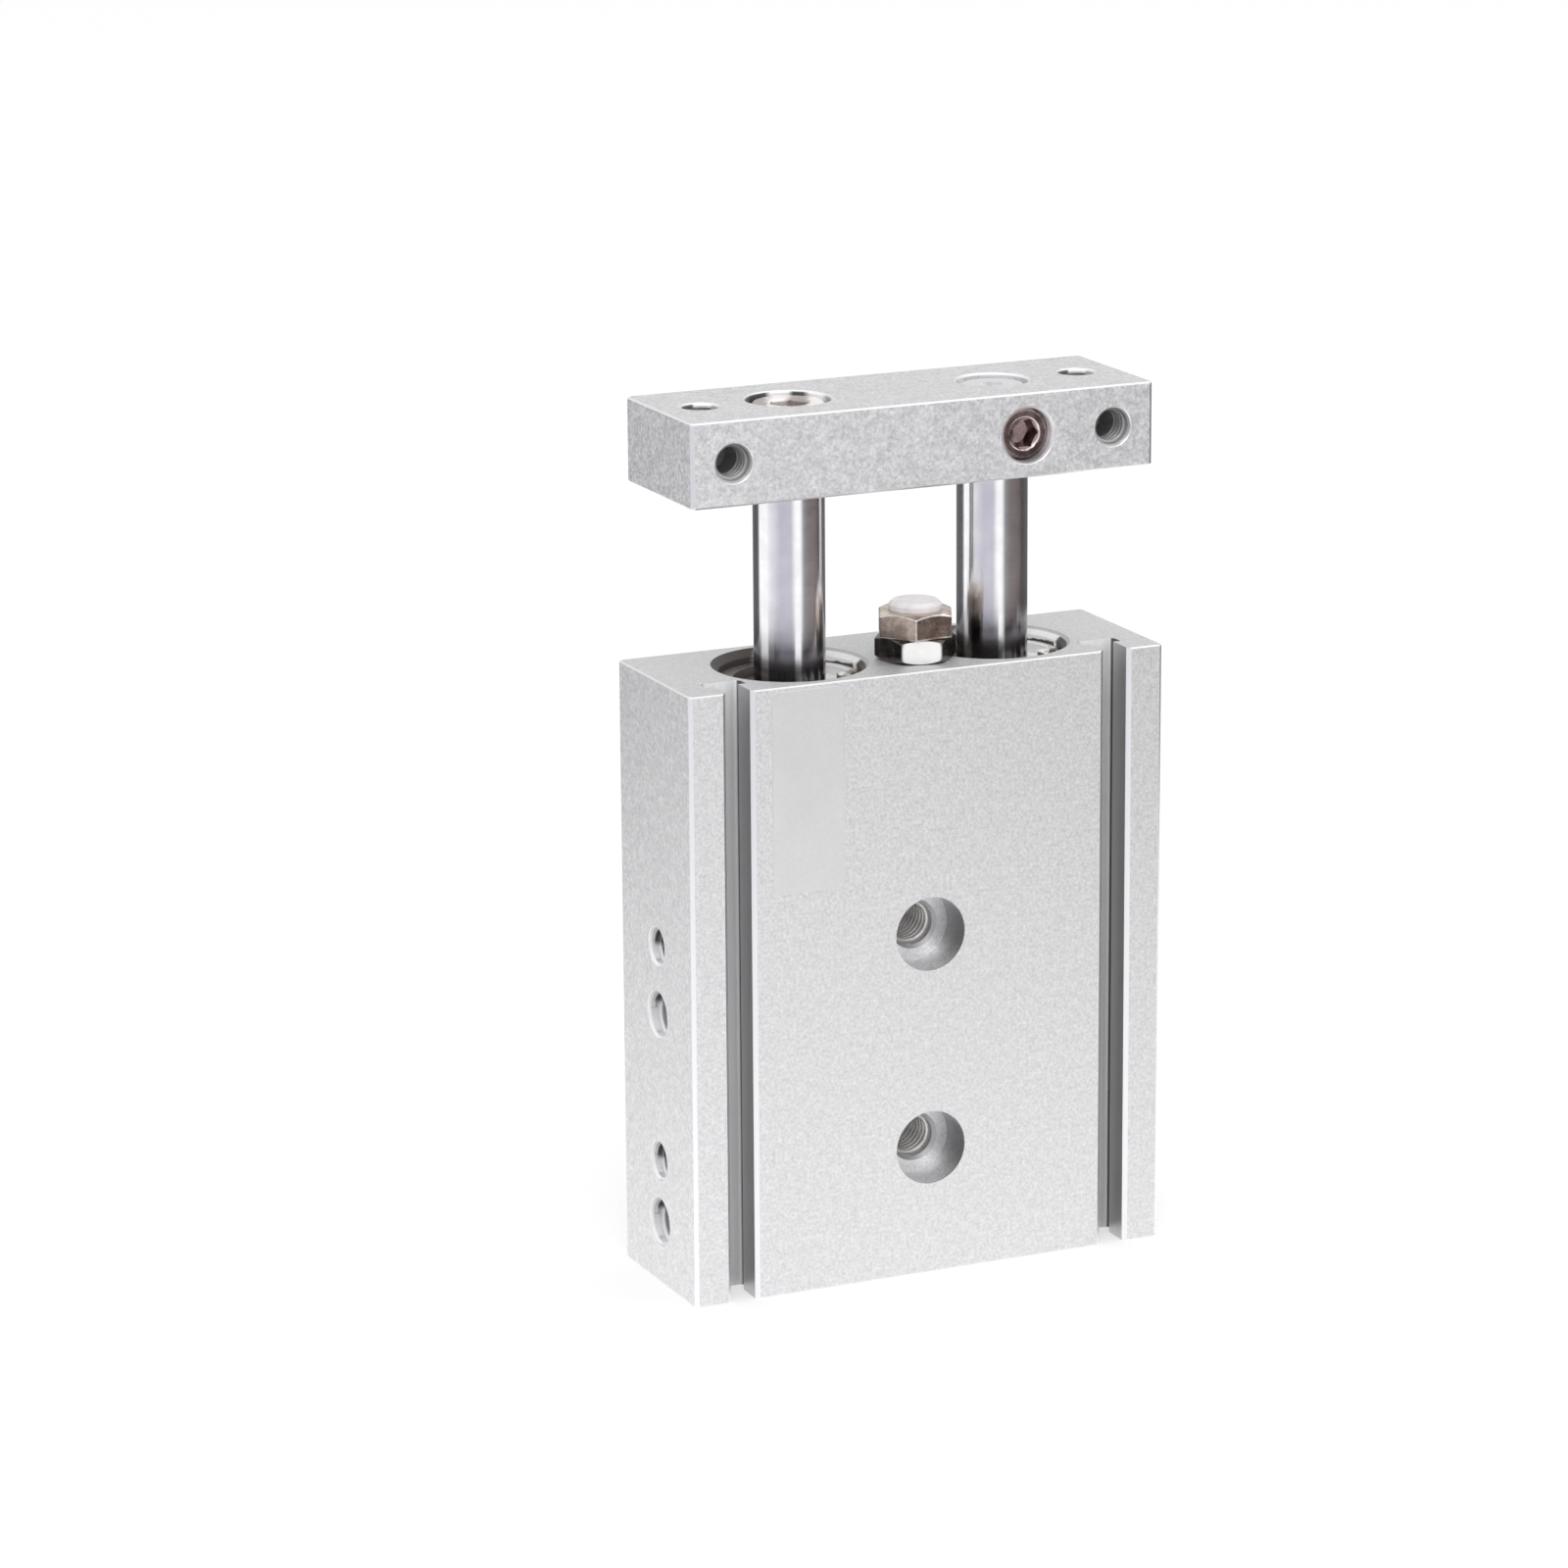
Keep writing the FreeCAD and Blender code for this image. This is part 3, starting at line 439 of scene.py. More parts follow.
def plate_front_holes(graph, x, y, z):
    """Masks and shades of the plate's holes from the front: the two screw holes, then the set screw's.

    As painted shade, the screw holes are dark, the more so upwards, with paler feet, and the set screw's is
    darker below.
    """
    above = graph.math("SUBTRACT", z, PLATE_HOLES_Z)
    behind_face = graph.product(
        graph.step(y, PLATE_FRONT + 0.05, PLATE_FRONT + 0.15), graph.step(y, 0.5, 0.3)
    )
    radius = graph.distance(graph.math("ABSOLUTE", x), PLATE_HOLES_X, above, 0.0)
    screw_holes = graph.product(graph.inside(radius, 2.35), behind_face)
    shade = graph.span(above, -1.6, 1.6, 0.5, 0.3)
    shade = graph.blend(graph.step(y, PLATE_FRONT + 2.4, PLATE_FRONT + 2.8), shade, 0.6)
    set_hole = graph.product(graph.inside(graph.distance(x, BORE_X, above, 0.0), 3.38), behind_face)
    return screw_holes, shade, set_hole, graph.span(above, -2.6, -0.6, 0.3, 0.9)


def cap_screw_well(graph, x, y, z):
    """Mask and shade of the cap screw's well: painted reflections, bright and dark stripes as bored metal
    reflects them.
    """
    within = graph.product(graph.under(z, PLATE_TOP), graph.step(z, PLATE_FOOT + 0.6, PLATE_FOOT + 0.8))
    mask = graph.product(graph.inside(graph.distance(x, -BORE_X, y, 0.0), 4.8), within)
    return mask, graph.tones(graph.span(across_axes(graph, BORE_X), -4.7, 4.7, 0.0, 1.0), [
        (0.0, 0.3), (0.06, 0.07), (0.23, 0.08), (0.3, 0.97), (0.5, 0.97),
        (0.56, 0.1), (0.68, 0.12), (0.76, 0.98), (0.9, 0.98), (0.97, 0.4),
    ])


def anodised_plate():
    """The plate's sand-blasted aluminium, a little coarser, with its own look in each hole."""
    material, graph, shader = new_material("anodised_plate")
    place, x, y, z = graph.places()
    blasted = grain(graph, graph.stretched(place, (1.05, 1.05, 1.05)), 0.24)
    end_hole, end_hole_painted_shade = plate_end_holes(graph, x, y, z)
    front_hole, front_hole_painted_shade, set_hole, set_hole_painted_shade = plate_front_holes(graph, x, y, z)
    well, well_painted_reflection = cap_screw_well(graph, x, y, z)
    bored = graph.most(well, end_hole, front_hole, set_hole)
    highlit_chamfer = graph.product(graph.off_square(), graph.math("SUBTRACT", 1.0, bored))
    plate_top_painted_darker = graph.step(graph.facing((0, 0, 1)), 0.8, 0.95)
    turning = graph.noise(graph.stretched(place, (0.2, 0.2, 6.0)), 1.0, 2.0, 0.6)
    rings = graph.span(turning, 0.25, 0.75, 0.9, 1.05)
    # painted shade and highlight: top faces darker and chamfers paler; each hole takes its own painted look
    shade = graph.blend(highlit_chamfer, graph.product(graph.blend(plate_top_painted_darker, 0.79, 0.685), blasted), 0.9)
    for hole, own_shade in ((well, well_painted_reflection), (end_hole, end_hole_painted_shade), (front_hole, front_hole_painted_shade),
                            (set_hole, set_hole_painted_shade)):
        shade = graph.blend(hole, shade, graph.product(own_shade, rings))
    # the set screw's hole is tinted a little purple along with its painted shade
    tint = graph.mix(set_hole, rgba((1.0, 0.995, 1.01)), rgba((1.0, 0.95, 0.98)))
    join(graph, graph.scaled(tint, shade), shader, "Base Color")
    join(graph, graph.blend(bored, 1.0, 0.15), shader, "Metallic")
    roughness = graph.blend(highlit_chamfer, graph.span(blasted, 0.88, 1.12, 0.5, 0.62), 0.35)
    join(graph, graph.blend(bored, roughness, 0.3), shader, "Roughness")
    join(graph, graph.bump(graph.blend(bored, blasted, 1.0), 0.00006, 0.35), shader, "Normal")
    return material


def turned_metal(name, colour, light, roughness):
    """Lathe-turned metal: fine rings along Z that differ in roughness, and a little colour drift."""
    material, graph, shader = new_material(name)
    place = graph.places()[0]
    ringed = graph.noise(graph.stretched(place, (0.1, 0.1, 5.0)), 1.0, 3.0, 0.6)
    drift = graph.noise(place, 0.35)
    share = graph.math("MULTIPLY", graph.math("ADD", ringed, drift), 0.5)
    join(graph, graph.mix(graph.step(share, 0.3, 0.7), rgba(colour), rgba(light)), shader, "Base Color")
    shader.inputs["Metallic"].default_value = 1.0
    join(graph, graph.span(ringed, 0.25, 0.75, roughness * 0.8, roughness * 1.25), shader, "Roughness")
    join(graph, graph.bump(ringed, 0.00002, 0.3), shader, "Normal")
    return material


def plated_metal(name, colour, light, roughness, spots=0.0, rounding=0.0002, edge_wear_and_highlight=None):
    """Plated steel with broken edges, a drift of colour, fine pits and brown spots.

    Where a colour is given for them, edges take it: partly wear, partly a painted highlight.
    """
    material, graph, shader = new_material(name)
    place = graph.places()[0]
    drift = graph.noise(place, 0.8, 3.0, 0.6)
    pits = graph.noise(place, 5.0, 2.0, 0.7)
    blotch = graph.math("MULTIPLY", graph.step(graph.noise(place, 1.6), 0.56, 0.66), spots)
    base = graph.mix(graph.step(drift, 0.3, 0.7), rgba(colour), rgba(light))
    base = graph.mix(blotch, base, rgba((0.12, 0.085, 0.065)))
    # edges in their own colour: partly wear, partly a painted highlight
    if edge_wear_and_highlight:
        base = graph.mix(graph.edge_band(rounding), base, rgba(edge_wear_and_highlight))
    join(graph, base, shader, "Base Color")
    shader.inputs["Metallic"].default_value = 1.0
    join(graph, graph.span(pits, 0.3, 0.7, roughness * 0.75, roughness * 1.3), shader, "Roughness")
    join(graph, graph.bump(pits, 0.00002, 0.25, rounding), shader, "Normal")
    return material


def set_screw_nickel():
    """Dark set screw, with painted highlights round its rim and round its socket."""
    material, graph, shader = new_material("dark_nickel")
    place, x, _, z = graph.places()
    drift = graph.noise(place, 0.8, 3.0, 0.6)
    radius = graph.distance(x, BORE_X, z, PLATE_HOLES_Z)
    # painted highlights: pale rings round the socket and round the rim, on the front face
    socket_edge, rim = 1.86, 2.72
    rings = graph.most(*(
        graph.step(graph.math("ABSOLUTE", graph.math("SUBTRACT", radius, ring)), 0.155, 0.05)
        for ring in (socket_edge, rim)
    ))
    rings = graph.product(rings, graph.step(drift, 0.3, 0.5), graph.step(graph.facing((0, -1, 0)), 0.3, 0.6))
    base = graph.mix(graph.step(drift, 0.3, 0.7), rgba((0.25, 0.18, 0.17)), rgba((0.4, 0.32, 0.31)))
    # edges paler: partly wear, partly a painted highlight
    base = graph.mix(graph.product(graph.edge_band(0.00012), 0.5), base, rgba((0.75, 0.66, 0.64)))
    base = graph.mix(rings, base, rgba((0.85, 0.75, 0.73)))
    join(graph, base, shader, "Base Color")
    shader.inputs["Metallic"].default_value = 1.0
    join(graph, graph.span(drift, 0.3, 0.7, 0.2, 0.3), shader, "Roughness")
    join(graph, graph.bump(drift, 0.00003, 0.3, 0.0002), shader, "Normal")
    return material


def cap_screw_nickel():
    """Cap screw in the plate: painted reflections, brown patches between bright ones."""
    material, graph, shader = new_material("spotted_nickel")
    drift = graph.noise(graph.places()[0], 0.7, 3.0, 0.6)
    # painted reflections: brown and bright patches laid out along ASIDE
    bent = graph.math("ADD", across_axes(graph, BORE_X), graph.span(drift, 0.2, 0.8, -0.8, 0.8))
    bright = graph.tones(graph.span(bent, -4.5, 4.5, 0.0, 1.0), [
        (0.0, 0.2), (0.2, 0.25), (0.3, 1.0), (0.46, 0.9), (0.54, 0.3), (0.7, 0.25), (0.78, 1.0), (1.0, 1.0),
    ])
    base = graph.mix(bright, rgba((0.2, 0.14, 0.13)), rgba((0.95, 0.92, 0.9)))
    join(graph, base, shader, "Base Color")
    shader.inputs["Metallic"].default_value = 0.6
    join(graph, graph.span(drift, 0.3, 0.7, 0.22, 0.32), shader, "Roughness")
    join(graph, graph.bump(drift, 0.00003, 0.3, 0.0002), shader, "Normal")
    return material


def mouth_nickel():
    """Washers and rings in the bores' mouths: right halves painted bright as light, with brown spots, left
    halves painted dark as shade.
    """
    material, graph, shader = new_material("mouth_nickel")
    place, x, y = graph.places()[:3]
    light_half = painted_light_half(graph, place, x)
    drift = graph.noise(place, 0.5)
    spot = graph.product(graph.step(graph.noise(place, 0.45, 1.0, 0.5), 0.52, 0.56), graph.step(y, 1.5, -1.5))
    base = graph.mix(graph.step(drift, 0.3, 0.7), rgba((0.97, 0.965, 0.95)), rgba((0.99, 0.99, 0.985)))
    base = graph.mix(spot, base, rgba((0.13, 0.08, 0.045)))
    # painted shade: the left halves dark
    base = graph.mix(light_half, rgba((0.13, 0.115, 0.105)), base)
    join(graph, base, shader, "Base Color")
    shader.inputs["Metallic"].default_value = 0.05
    join(graph, graph.span(drift, 0.3, 0.7, 0.25, 0.35), shader, "Roughness")
    join(graph, graph.bump(drift, 0.00003, 0.3, 0.00015), shader, "Normal")
    return material


def nut_nickel(facing, centre):
    """Lock nut with painted reflections: one flat bright but for its rim, the other flats and the chamfers
    dark.
    """
    material, graph, shader = new_material("nut_nickel")
    place = graph.places()[0]
    drift = graph.noise(place, 0.8, 3.0, 0.6)
    middle = tuple(centre * MM)
    off_middle = graph.add("ShaderNodeVectorMath", {0: place, 1: middle}, operation="SUBTRACT").outputs[0]
    sideways = graph.math("ABSOLUTE", graph.along((-facing[1], facing[0], 0), off_middle))
    upwards = graph.math("ABSOLUTE", graph.along((0, 0, 1), off_middle))
    rim = graph.total(graph.math("POWER", graph.product(sideways, 1 / 2.25), 4.0),
                      graph.math("POWER", graph.product(upwards, 1 / 1.45), 4.0))
    # painted reflections: the flat that faces the given direction bright, the rest dark
    bright = graph.product(graph.step(graph.facing(facing), 0.8, 0.95), graph.step(rim, 1.2, 0.6))
    dark = graph.mix(graph.step(drift, 0.3, 0.7), rgba((0.1, 0.085, 0.08)), rgba((0.2, 0.18, 0.17)))
    light = graph.mix(graph.step(drift, 0.3, 0.7), rgba((0.9, 0.89, 0.88)), rgba((0.98, 0.97, 0.97)))
    base = graph.mix(bright, dark, light)
    # edges a little paler: partly wear, partly a painted highlight
    base = graph.mix(graph.product(graph.edge_band(0.00015), 0.4), base, rgba((0.6, 0.57, 0.55)))
    join(graph, base, shader, "Base Color")
    join(graph, graph.blend(bright, 1.0, 0.6), shader, "Metallic")
    join(graph, graph.span(drift, 0.3, 0.7, 0.2, 0.28), shader, "Roughness")
    join(graph, graph.bump(drift, 0.00003, 0.3, 0.0002), shader, "Normal")
    return material


def chrome_rod():
    """Ground and hard chromed: its grinding lines, round the rod, draw reflections out along it.

    Its foot is painted dark as a reflection, but for two streaks where reflected light stays, and its cut end
    is duller.
    """
    material, graph, shader = new_material("rod_chrome")
    place, _, _, z = graph.places()
    across = across_axes(graph, BORE_X)
    # painted reflection: a dark foot, left open along two reflected streaks
    reflected_streaks = graph.most(
        graph.step(graph.math("ABSOLUTE", graph.math("ADD", across, 2.75)), 0.55, 0.25),
        graph.step(graph.math("ABSOLUTE", graph.math("SUBTRACT", across, 0.95)), 0.5, 0.2),
    )
    dark_foot_reflection = graph.tones(graph.span(z, BODY_TOP - 2.0, BODY_TOP + 8.0, 0.0, 1.0), [
        (0.0, 0.85), (0.42, 0.8), (0.55, 0.45), (0.7, 0.2), (1.0, 0.0),
    ])
    film = graph.product(dark_foot_reflection, graph.math("SUBTRACT", 1.0, graph.product(reflected_streaks, 0.9)))
    ground = graph.noise(graph.stretched(place, (0.6, 0.6, 14.0)), 1.0, 2.0, 0.6)
    cloud = graph.noise(place, 0.5)
    end = graph.step(z, ROD_END - 0.75, ROD_END - 0.6)
    tone = graph.mix(graph.step(cloud, 0.3, 0.7), rgba((0.86, 0.86, 0.88)), rgba((0.93, 0.93, 0.94)))
    tone = graph.mix(film, tone, rgba((0.07, 0.062, 0.075)))
    tone = graph.mix(end, tone, rgba((0.7, 0.7, 0.71)))
    join(graph, tone, shader, "Base Color")
    shader.inputs["Metallic"].default_value = 1.0
    join(graph, graph.blend(end, graph.span(ground, 0.25, 0.75, 0.13, 0.17), 0.5), shader, "Roughness")
    shader.inputs["Anisotropic"].default_value = 0.95
    shader.inputs["Anisotropic Rotation"].default_value = 0.25
    around = graph.add("ShaderNodeTangent", direction_type="RADIAL", axis="Z").outputs[0]
    flat = graph.step(graph.facing((0, 0, 1)), 0.6, 0.8)
    join(graph, graph.mix(flat, around, rgba((1.0, 0.0, 0.0))), shader, "Tangent")
    return material


def moulded(name, colour, light, roughness, subsurface=0.0, radius=(1.0, 0.2, 0.1), coat=0.0):
    """Rubber or urethane: a matt skin with soft mottling."""
    material, graph, shader = new_material(name)
    place = graph.places()[0]
    mottle = graph.noise(place, 0.9, 3.0, 0.55)
    skin = graph.noise(place, 7.0, 2.0, 0.6)
    join(graph, graph.mix(graph.step(mottle, 0.3, 0.7), rgba(colour), rgba(light)), shader, "Base Color")
    join(graph, graph.span(skin, 0.3, 0.7, roughness * 0.85, roughness * 1.15), shader, "Roughness")
    shader.inputs["Subsurface Weight"].default_value = subsurface
    shader.inputs["Subsurface Radius"].default_value = radius
    shader.inputs["Subsurface Scale"].default_value = 0.001
    shader.inputs["Coat Weight"].default_value = coat
    join(graph, graph.bump(skin, 0.00002, 0.3), shader, "Normal")
    return material


def label_film():
    """Bare clear-coated film over the blasted face: smoother, with the grain just showing through."""
    material, graph, shader = new_material("label_film")
    place = graph.places()[0]
    cloud = graph.noise(place, 0.25)
    shade = graph.product(
        graph.span(grain(graph, place), 0.88, 1.12, 0.765, 0.8), graph.span(cloud, 0.3, 0.7, 0.985, 1.015)
    )
    join(graph, graph.scaled((1.0, 1.0, 1.012), shade), shader, "Base Color")
    shader.inputs["Metallic"].default_value = 0.6
    join(graph, graph.span(cloud, 0.3, 0.7, 0.38, 0.45), shader, "Roughness")
    shader.inputs["Coat Weight"].default_value = 0.25
    shader.inputs["Coat Roughness"].default_value = 0.25
    return material


def cut_thread():
    """Freshly cut thread flanks, with chatter marks."""
    material, graph, shader = new_material("cut_thread_m5")
    chatter = graph.noise(graph.places()[0], 4.0, 2.0, 0.6)
    tone = graph.span(chatter, 0.3, 0.7, 0.748, 0.968)
    join(graph, graph.scaled((1.0, 0.98, 0.95), tone), shader, "Base Color")
    shader.inputs["Metallic"].default_value = 0.6
    join(graph, graph.span(chatter, 0.3, 0.7, 0.272, 0.408), shader, "Roughness")
    join(graph, graph.bump(chatter, 0.00002, 0.3), shader, "Normal")
    return material


finishes = {
    "anodised_body": anodised_body(),
    "anodised_plate": anodised_plate(),
    "turned_aluminium": turned_metal("turned_aluminium", (0.58, 0.58, 0.6), (0.74, 0.74, 0.75), 0.3),
    "rod_chrome": chrome_rod(),
    "warm_nickel": plated_metal("warm_nickel", (0.42, 0.33, 0.28), (0.72, 0.61, 0.53), 0.2,
                                rounding=0.0003, edge_wear_and_highlight=(0.98, 0.95, 0.92)),
    "bright_nickel": plated_metal("bright_nickel", (0.88, 0.87, 0.86), (0.96, 0.95, 0.94), 0.12, spots=0.05),
    "dark_steel": plated_metal("dark_steel", (0.13, 0.125, 0.12), (0.22, 0.21, 0.2), 0.35),
    "ring_steel": plated_metal("ring_steel", (0.3, 0.25, 0.21), (0.48, 0.42, 0.37), 0.28),
    "bush_bronze": turned_metal("bush_bronze", (0.55, 0.34, 0.17), (0.74, 0.5, 0.28), 0.4),
    "black_rubber": moulded("black_rubber", (0.014, 0.014, 0.015), (0.03, 0.03, 0.031), 0.45),
    "white_urethane": moulded("white_urethane", (0.8, 0.77, 0.78), (0.88, 0.86, 0.86), 0.42,
                              subsurface=0.5, radius=(1.0, 0.8, 0.8), coat=0.15),
    "amber_urethane": moulded("amber_urethane", (0.62, 0.32, 0.07), (0.76, 0.44, 0.13), 0.4,
                              subsurface=0.3, radius=(1.0, 0.5, 0.2), coat=0.1),
    "magnet_black": moulded("magnet_black", (0.03, 0.03, 0.032), (0.06, 0.058, 0.056), 0.6),
}

# every CAD node keeps its slots: each gets the slot's finish, or the node's own
own_finishes = {
    "plate_set_screw": set_screw_nickel(),
    "plate_screw": cap_screw_nickel(),
}
mouth_finish = mouth_nickel()
for side in ("left", "right"):
    own_finishes["seal_retainer_" + side] = mouth_finish
    own_finishes["front_clip_" + side] = mouth_finish
for name, node in nodes.items():
    for slot in node.material_slots:
        slot.material = own_finishes.get(name) or finishes[slot.material.name.split(".")[0]]


# ---- threads ----

def thread_ridge(mesh, origin, axis, length, wall_radius, pitch):
    """Adds a right-handed internal thread's ridge to mesh, from origin along axis for length.

    Its foot lies on the hole's wall and its crest stands inwards. Both ends fade out into the wall.
    """
    crest = 0.54 * pitch
    turn_steps = 40
    fade_steps = turn_steps * 0.5
    steps = int((length / pitch - 1) * turn_steps)
    aim = Vector(axis).to_track_quat("Z", "Y").to_matrix()
    rows = []
    for step in range(steps + 1):
        angle = 2 * math.pi * step / turn_steps
        height = pitch * (0.5 + step / turn_steps)
        fade = min(1.0, step / fade_steps, (steps - step) / fade_steps)
        rise = crest * max(fade, 0.02)
        row = []
        for along, inward in ((-0.44, -0.02), (-0.13, 1.0), (0.13, 1.0), (0.44, -0.02)):
            radius = wall_radius - rise * inward
            spot = Vector((radius * math.cos(angle), radius * math.sin(angle), height + along * pitch))
            row.append(mesh.verts.new(Vector(origin) + aim @ spot))
        rows.append(row)
    for first, second in zip(rows, rows[1:]):
        for side in range(4):
            after = (side + 1) % 4
            mesh.faces.new((first[side], second[side], second[after], first[after]))
    mesh.faces.new(rows[0][::-1])
    mesh.faces.new(rows[-1])


def object_from(mesh, name, material):
    """Object from a bmesh, with its material."""
    data = bpy.data.meshes.new(name)
    mesh.to_mesh(data)
    mesh.free()
    data.materials.append(material)
    made = bpy.data.objects.new(name, data)
    scene.collection.objects.link(made)
    return made


def piece_from(mesh, name, body, material, smooth=True):
    """Object from a bmesh that rides on a CAD body, with its material."""
    bmesh.ops.recalc_face_normals(mesh, faces=mesh.faces)
    piece = object_from(mesh, name, material)
    if smooth:
        piece.data.polygons.foreach_set("use_smooth", [True] * len(piece.data.polygons))
    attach(piece, body)
    return piece


M5 = {"wall_radius": 0.0025, "pitch": 0.0008}
M4 = {"wall_radius": 0.002, "pitch": 0.0007}
MOUTH = 0.0003    # depth of a hole's chamfer, below which its thread starts

# lengths of the threads
THROUGH_THREAD = 0.0102
PORT_THREAD = 0.0045
SIDE_THREAD = 0.0056
PLATE_TOP_THREAD = 0.0091
PLATE_FRONT_THREAD = 0.0037

ridges = bmesh.new()
for hole in pattern("front_screw_holes"):
    thread_ridge(ridges, (hole.x, THROUGH_THREAD / 2, hole.z), (0, -1, 0), THROUGH_THREAD, **M5)
piece_from(ridges, "front_hole_threads", "housing", cut_thread())

ridges = bmesh.new()
for name in ("rear_air_port", "front_air_port"):
    height = mounts[name]["pos_m"][2]
    thread_ridge(ridges, (body_low.x + MOUTH, 0, height), (1, 0, 0), PORT_THREAD, **M5)
piece_from(ridges, "port_threads", "housing", finishes["anodised_body"])

ridges = bmesh.new()
for side, name in ((-1, "side_screw_holes_left"), (1, "side_screw_holes_right")):
    start = (body_low.x if side < 0 else body_high.x) - side * MOUTH
    for hole in pattern(name):
        thread_ridge(ridges, (start, 0, hole.z), (-side, 0, 0), SIDE_THREAD, **M4)
piece_from(ridges, "side_hole_threads", "housing", finishes["anodised_body"])

ridges = bmesh.new()
for hole in pattern("plate_top_screw_holes"):
    thread_ridge(ridges, (hole.x, 0, plate_high.z - MOUTH), (0, 0, -1), PLATE_TOP_THREAD, **M4)
for hole in pattern("plate_front_screw_holes"):
    thread_ridge(ridges, (hole.x, plate_low.y + MOUTH, hole.z), (0, 1, 0), PLATE_FRONT_THREAD, **M4)
piece_from(ridges, "plate_threads", "carriage", finishes["anodised_plate"])


# ---- lock nut ----

def chamfered_nut(mesh, centre, height, half_flat, hole, facing):
    """Adds a hexagon nut, chamfered at both ends, with one flat facing a direction in radians."""
    rim = half_flat - 0.00015
    slope = math.tan(math.radians(30))
    flat_count = 20
    count = 6 * flat_count
    rows = []
    for k in range(count):
        off_flat = (k + flat_count // 2) % flat_count - flat_count // 2
        angle = facing + 2 * math.pi * k / count
        reach = half_flat / math.cos(2 * math.pi * off_flat / count)
        fall = (reach - rim) * slope
        outline = [(hole, 0), (rim, 0), (reach, fall), (reach, height - fall), (rim, height), (hole, height)]
        rows.append([
            mesh.verts.new(centre + Vector((radius * math.cos(angle), radius * math.sin(angle), z)))
            for radius, z in outline
        ])
    for k, row in enumerate(rows):
        after = rows[(k + 1) % count]
        for level in range(len(row)):
            above = (level + 1) % len(row)
            mesh.faces.new((row[level], after[level], after[above], row[above]))


NUT_FLATS = 0.008
NUT_HOLE_PLAY = 0.00003
NUT_TURN = math.radians(-104.8)    # direction that the flat painted bright faces

nut = bmesh.new()
nut_middle = (nut_low + nut_high) / 2
nut_foot = Vector((nut_middle.x, nut_middle.y, nut_low.z))
nut_hole = M5["wall_radius"] + NUT_HOLE_PLAY
chamfered_nut(nut, nut_foot, nut_high.z - nut_low.z, NUT_FLATS / 2, nut_hole, NUT_TURN)
nut_finish = nut_nickel((math.cos(NUT_TURN), math.sin(NUT_TURN), 0), nut_middle)
lock_nut = piece_from(nut, "lock_nut", "housing", nut_finish, smooth=False)
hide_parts("stop_nut")


# ---- label film ----

def rounded_outline(width, height, radius, steps=6):
    """Counter-clockwise outline of a rounded rectangle about the origin."""
    points = []
    for corner, (side_x, side_z) in enumerate(((1, 1), (-1, 1), (-1, -1), (1, -1))):
        for step in range(steps + 1):
            angle = math.pi / 2 * (corner + step / steps)
            x = side_x * (width / 2 - radius) + radius * math.cos(angle)
            z = side_z * (height / 2 - radius) + radius * math.sin(angle)
            points.append((x, z))
    return points


FILM_WIDTH, FILM_HEIGHT, FILM_THICKNESS = 0.0087, 0.0230, 0.00005
FILM_CORNER = 0.0008
FILM_BEVEL = 0.00004
FILM_GAP = 0.000004    # keeps the film's back off the body's face
FILM_CENTRE = Vector((-0.01485, body_low.y - FILM_GAP, body_high.z - 0.0120))

film = bmesh.new()
rings = []
for inset, thickness in ((0.0, 0.0), (0.0, 0.6 * FILM_THICKNESS), (FILM_BEVEL, FILM_THICKNESS)):
    outline = rounded_outline(FILM_WIDTH - 2 * inset, FILM_HEIGHT - 2 * inset, FILM_CORNER)
    rings.append([film.verts.new(FILM_CENTRE + Vector((x, -thickness, z))) for x, z in outline])
for back_ring, front_ring in zip(rings, rings[1:]):
    for index in range(len(back_ring)):
        after = (index + 1) % len(back_ring)
        film.faces.new((back_ring[index], back_ring[after], front_ring[after], front_ring[index]))
film.faces.new(rings[-1])
film.faces.new(rings[0][::-1])
piece_from(film, "label_film", "housing", label_film(), smooth=False)


# ---- studio ----

world = bpy.data.worlds.new("studio")
scene.world = world
world.use_nodes = True
world.node_tree.nodes.clear()
sky = Graph(world.node_tree)
direction = sky.add("ShaderNodeTexCoord").outputs["Generated"]
height = sky.add("ShaderNodeSeparateXYZ", {0: direction}).outputs[2]
tone = sky.ramp(sky.span(height, -1.0, 1.0, 0.0, 1.0), [
    (0.0, 0.5), (0.49, 0.62), (0.56, 0.74), (0.66, 0.8), (0.8, 1.0), (0.92, 1.1),
])
seen = sky.add("ShaderNodeLightPath").outputs["Is Camera Ray"]
ambient = sky.add("ShaderNodeBackground", {"Color": tone, "Strength": 1.0})
white = sky.add("ShaderNodeBackground", {"Color": (1, 1, 1, 1), "Strength": 1.0})
choice = sky.add("ShaderNodeMixShader", {0: seen, 1: ambient.outputs[0], 2: white.outputs[0]})
sky.add("ShaderNodeOutputWorld", {"Surface": choice.outputs[0]})


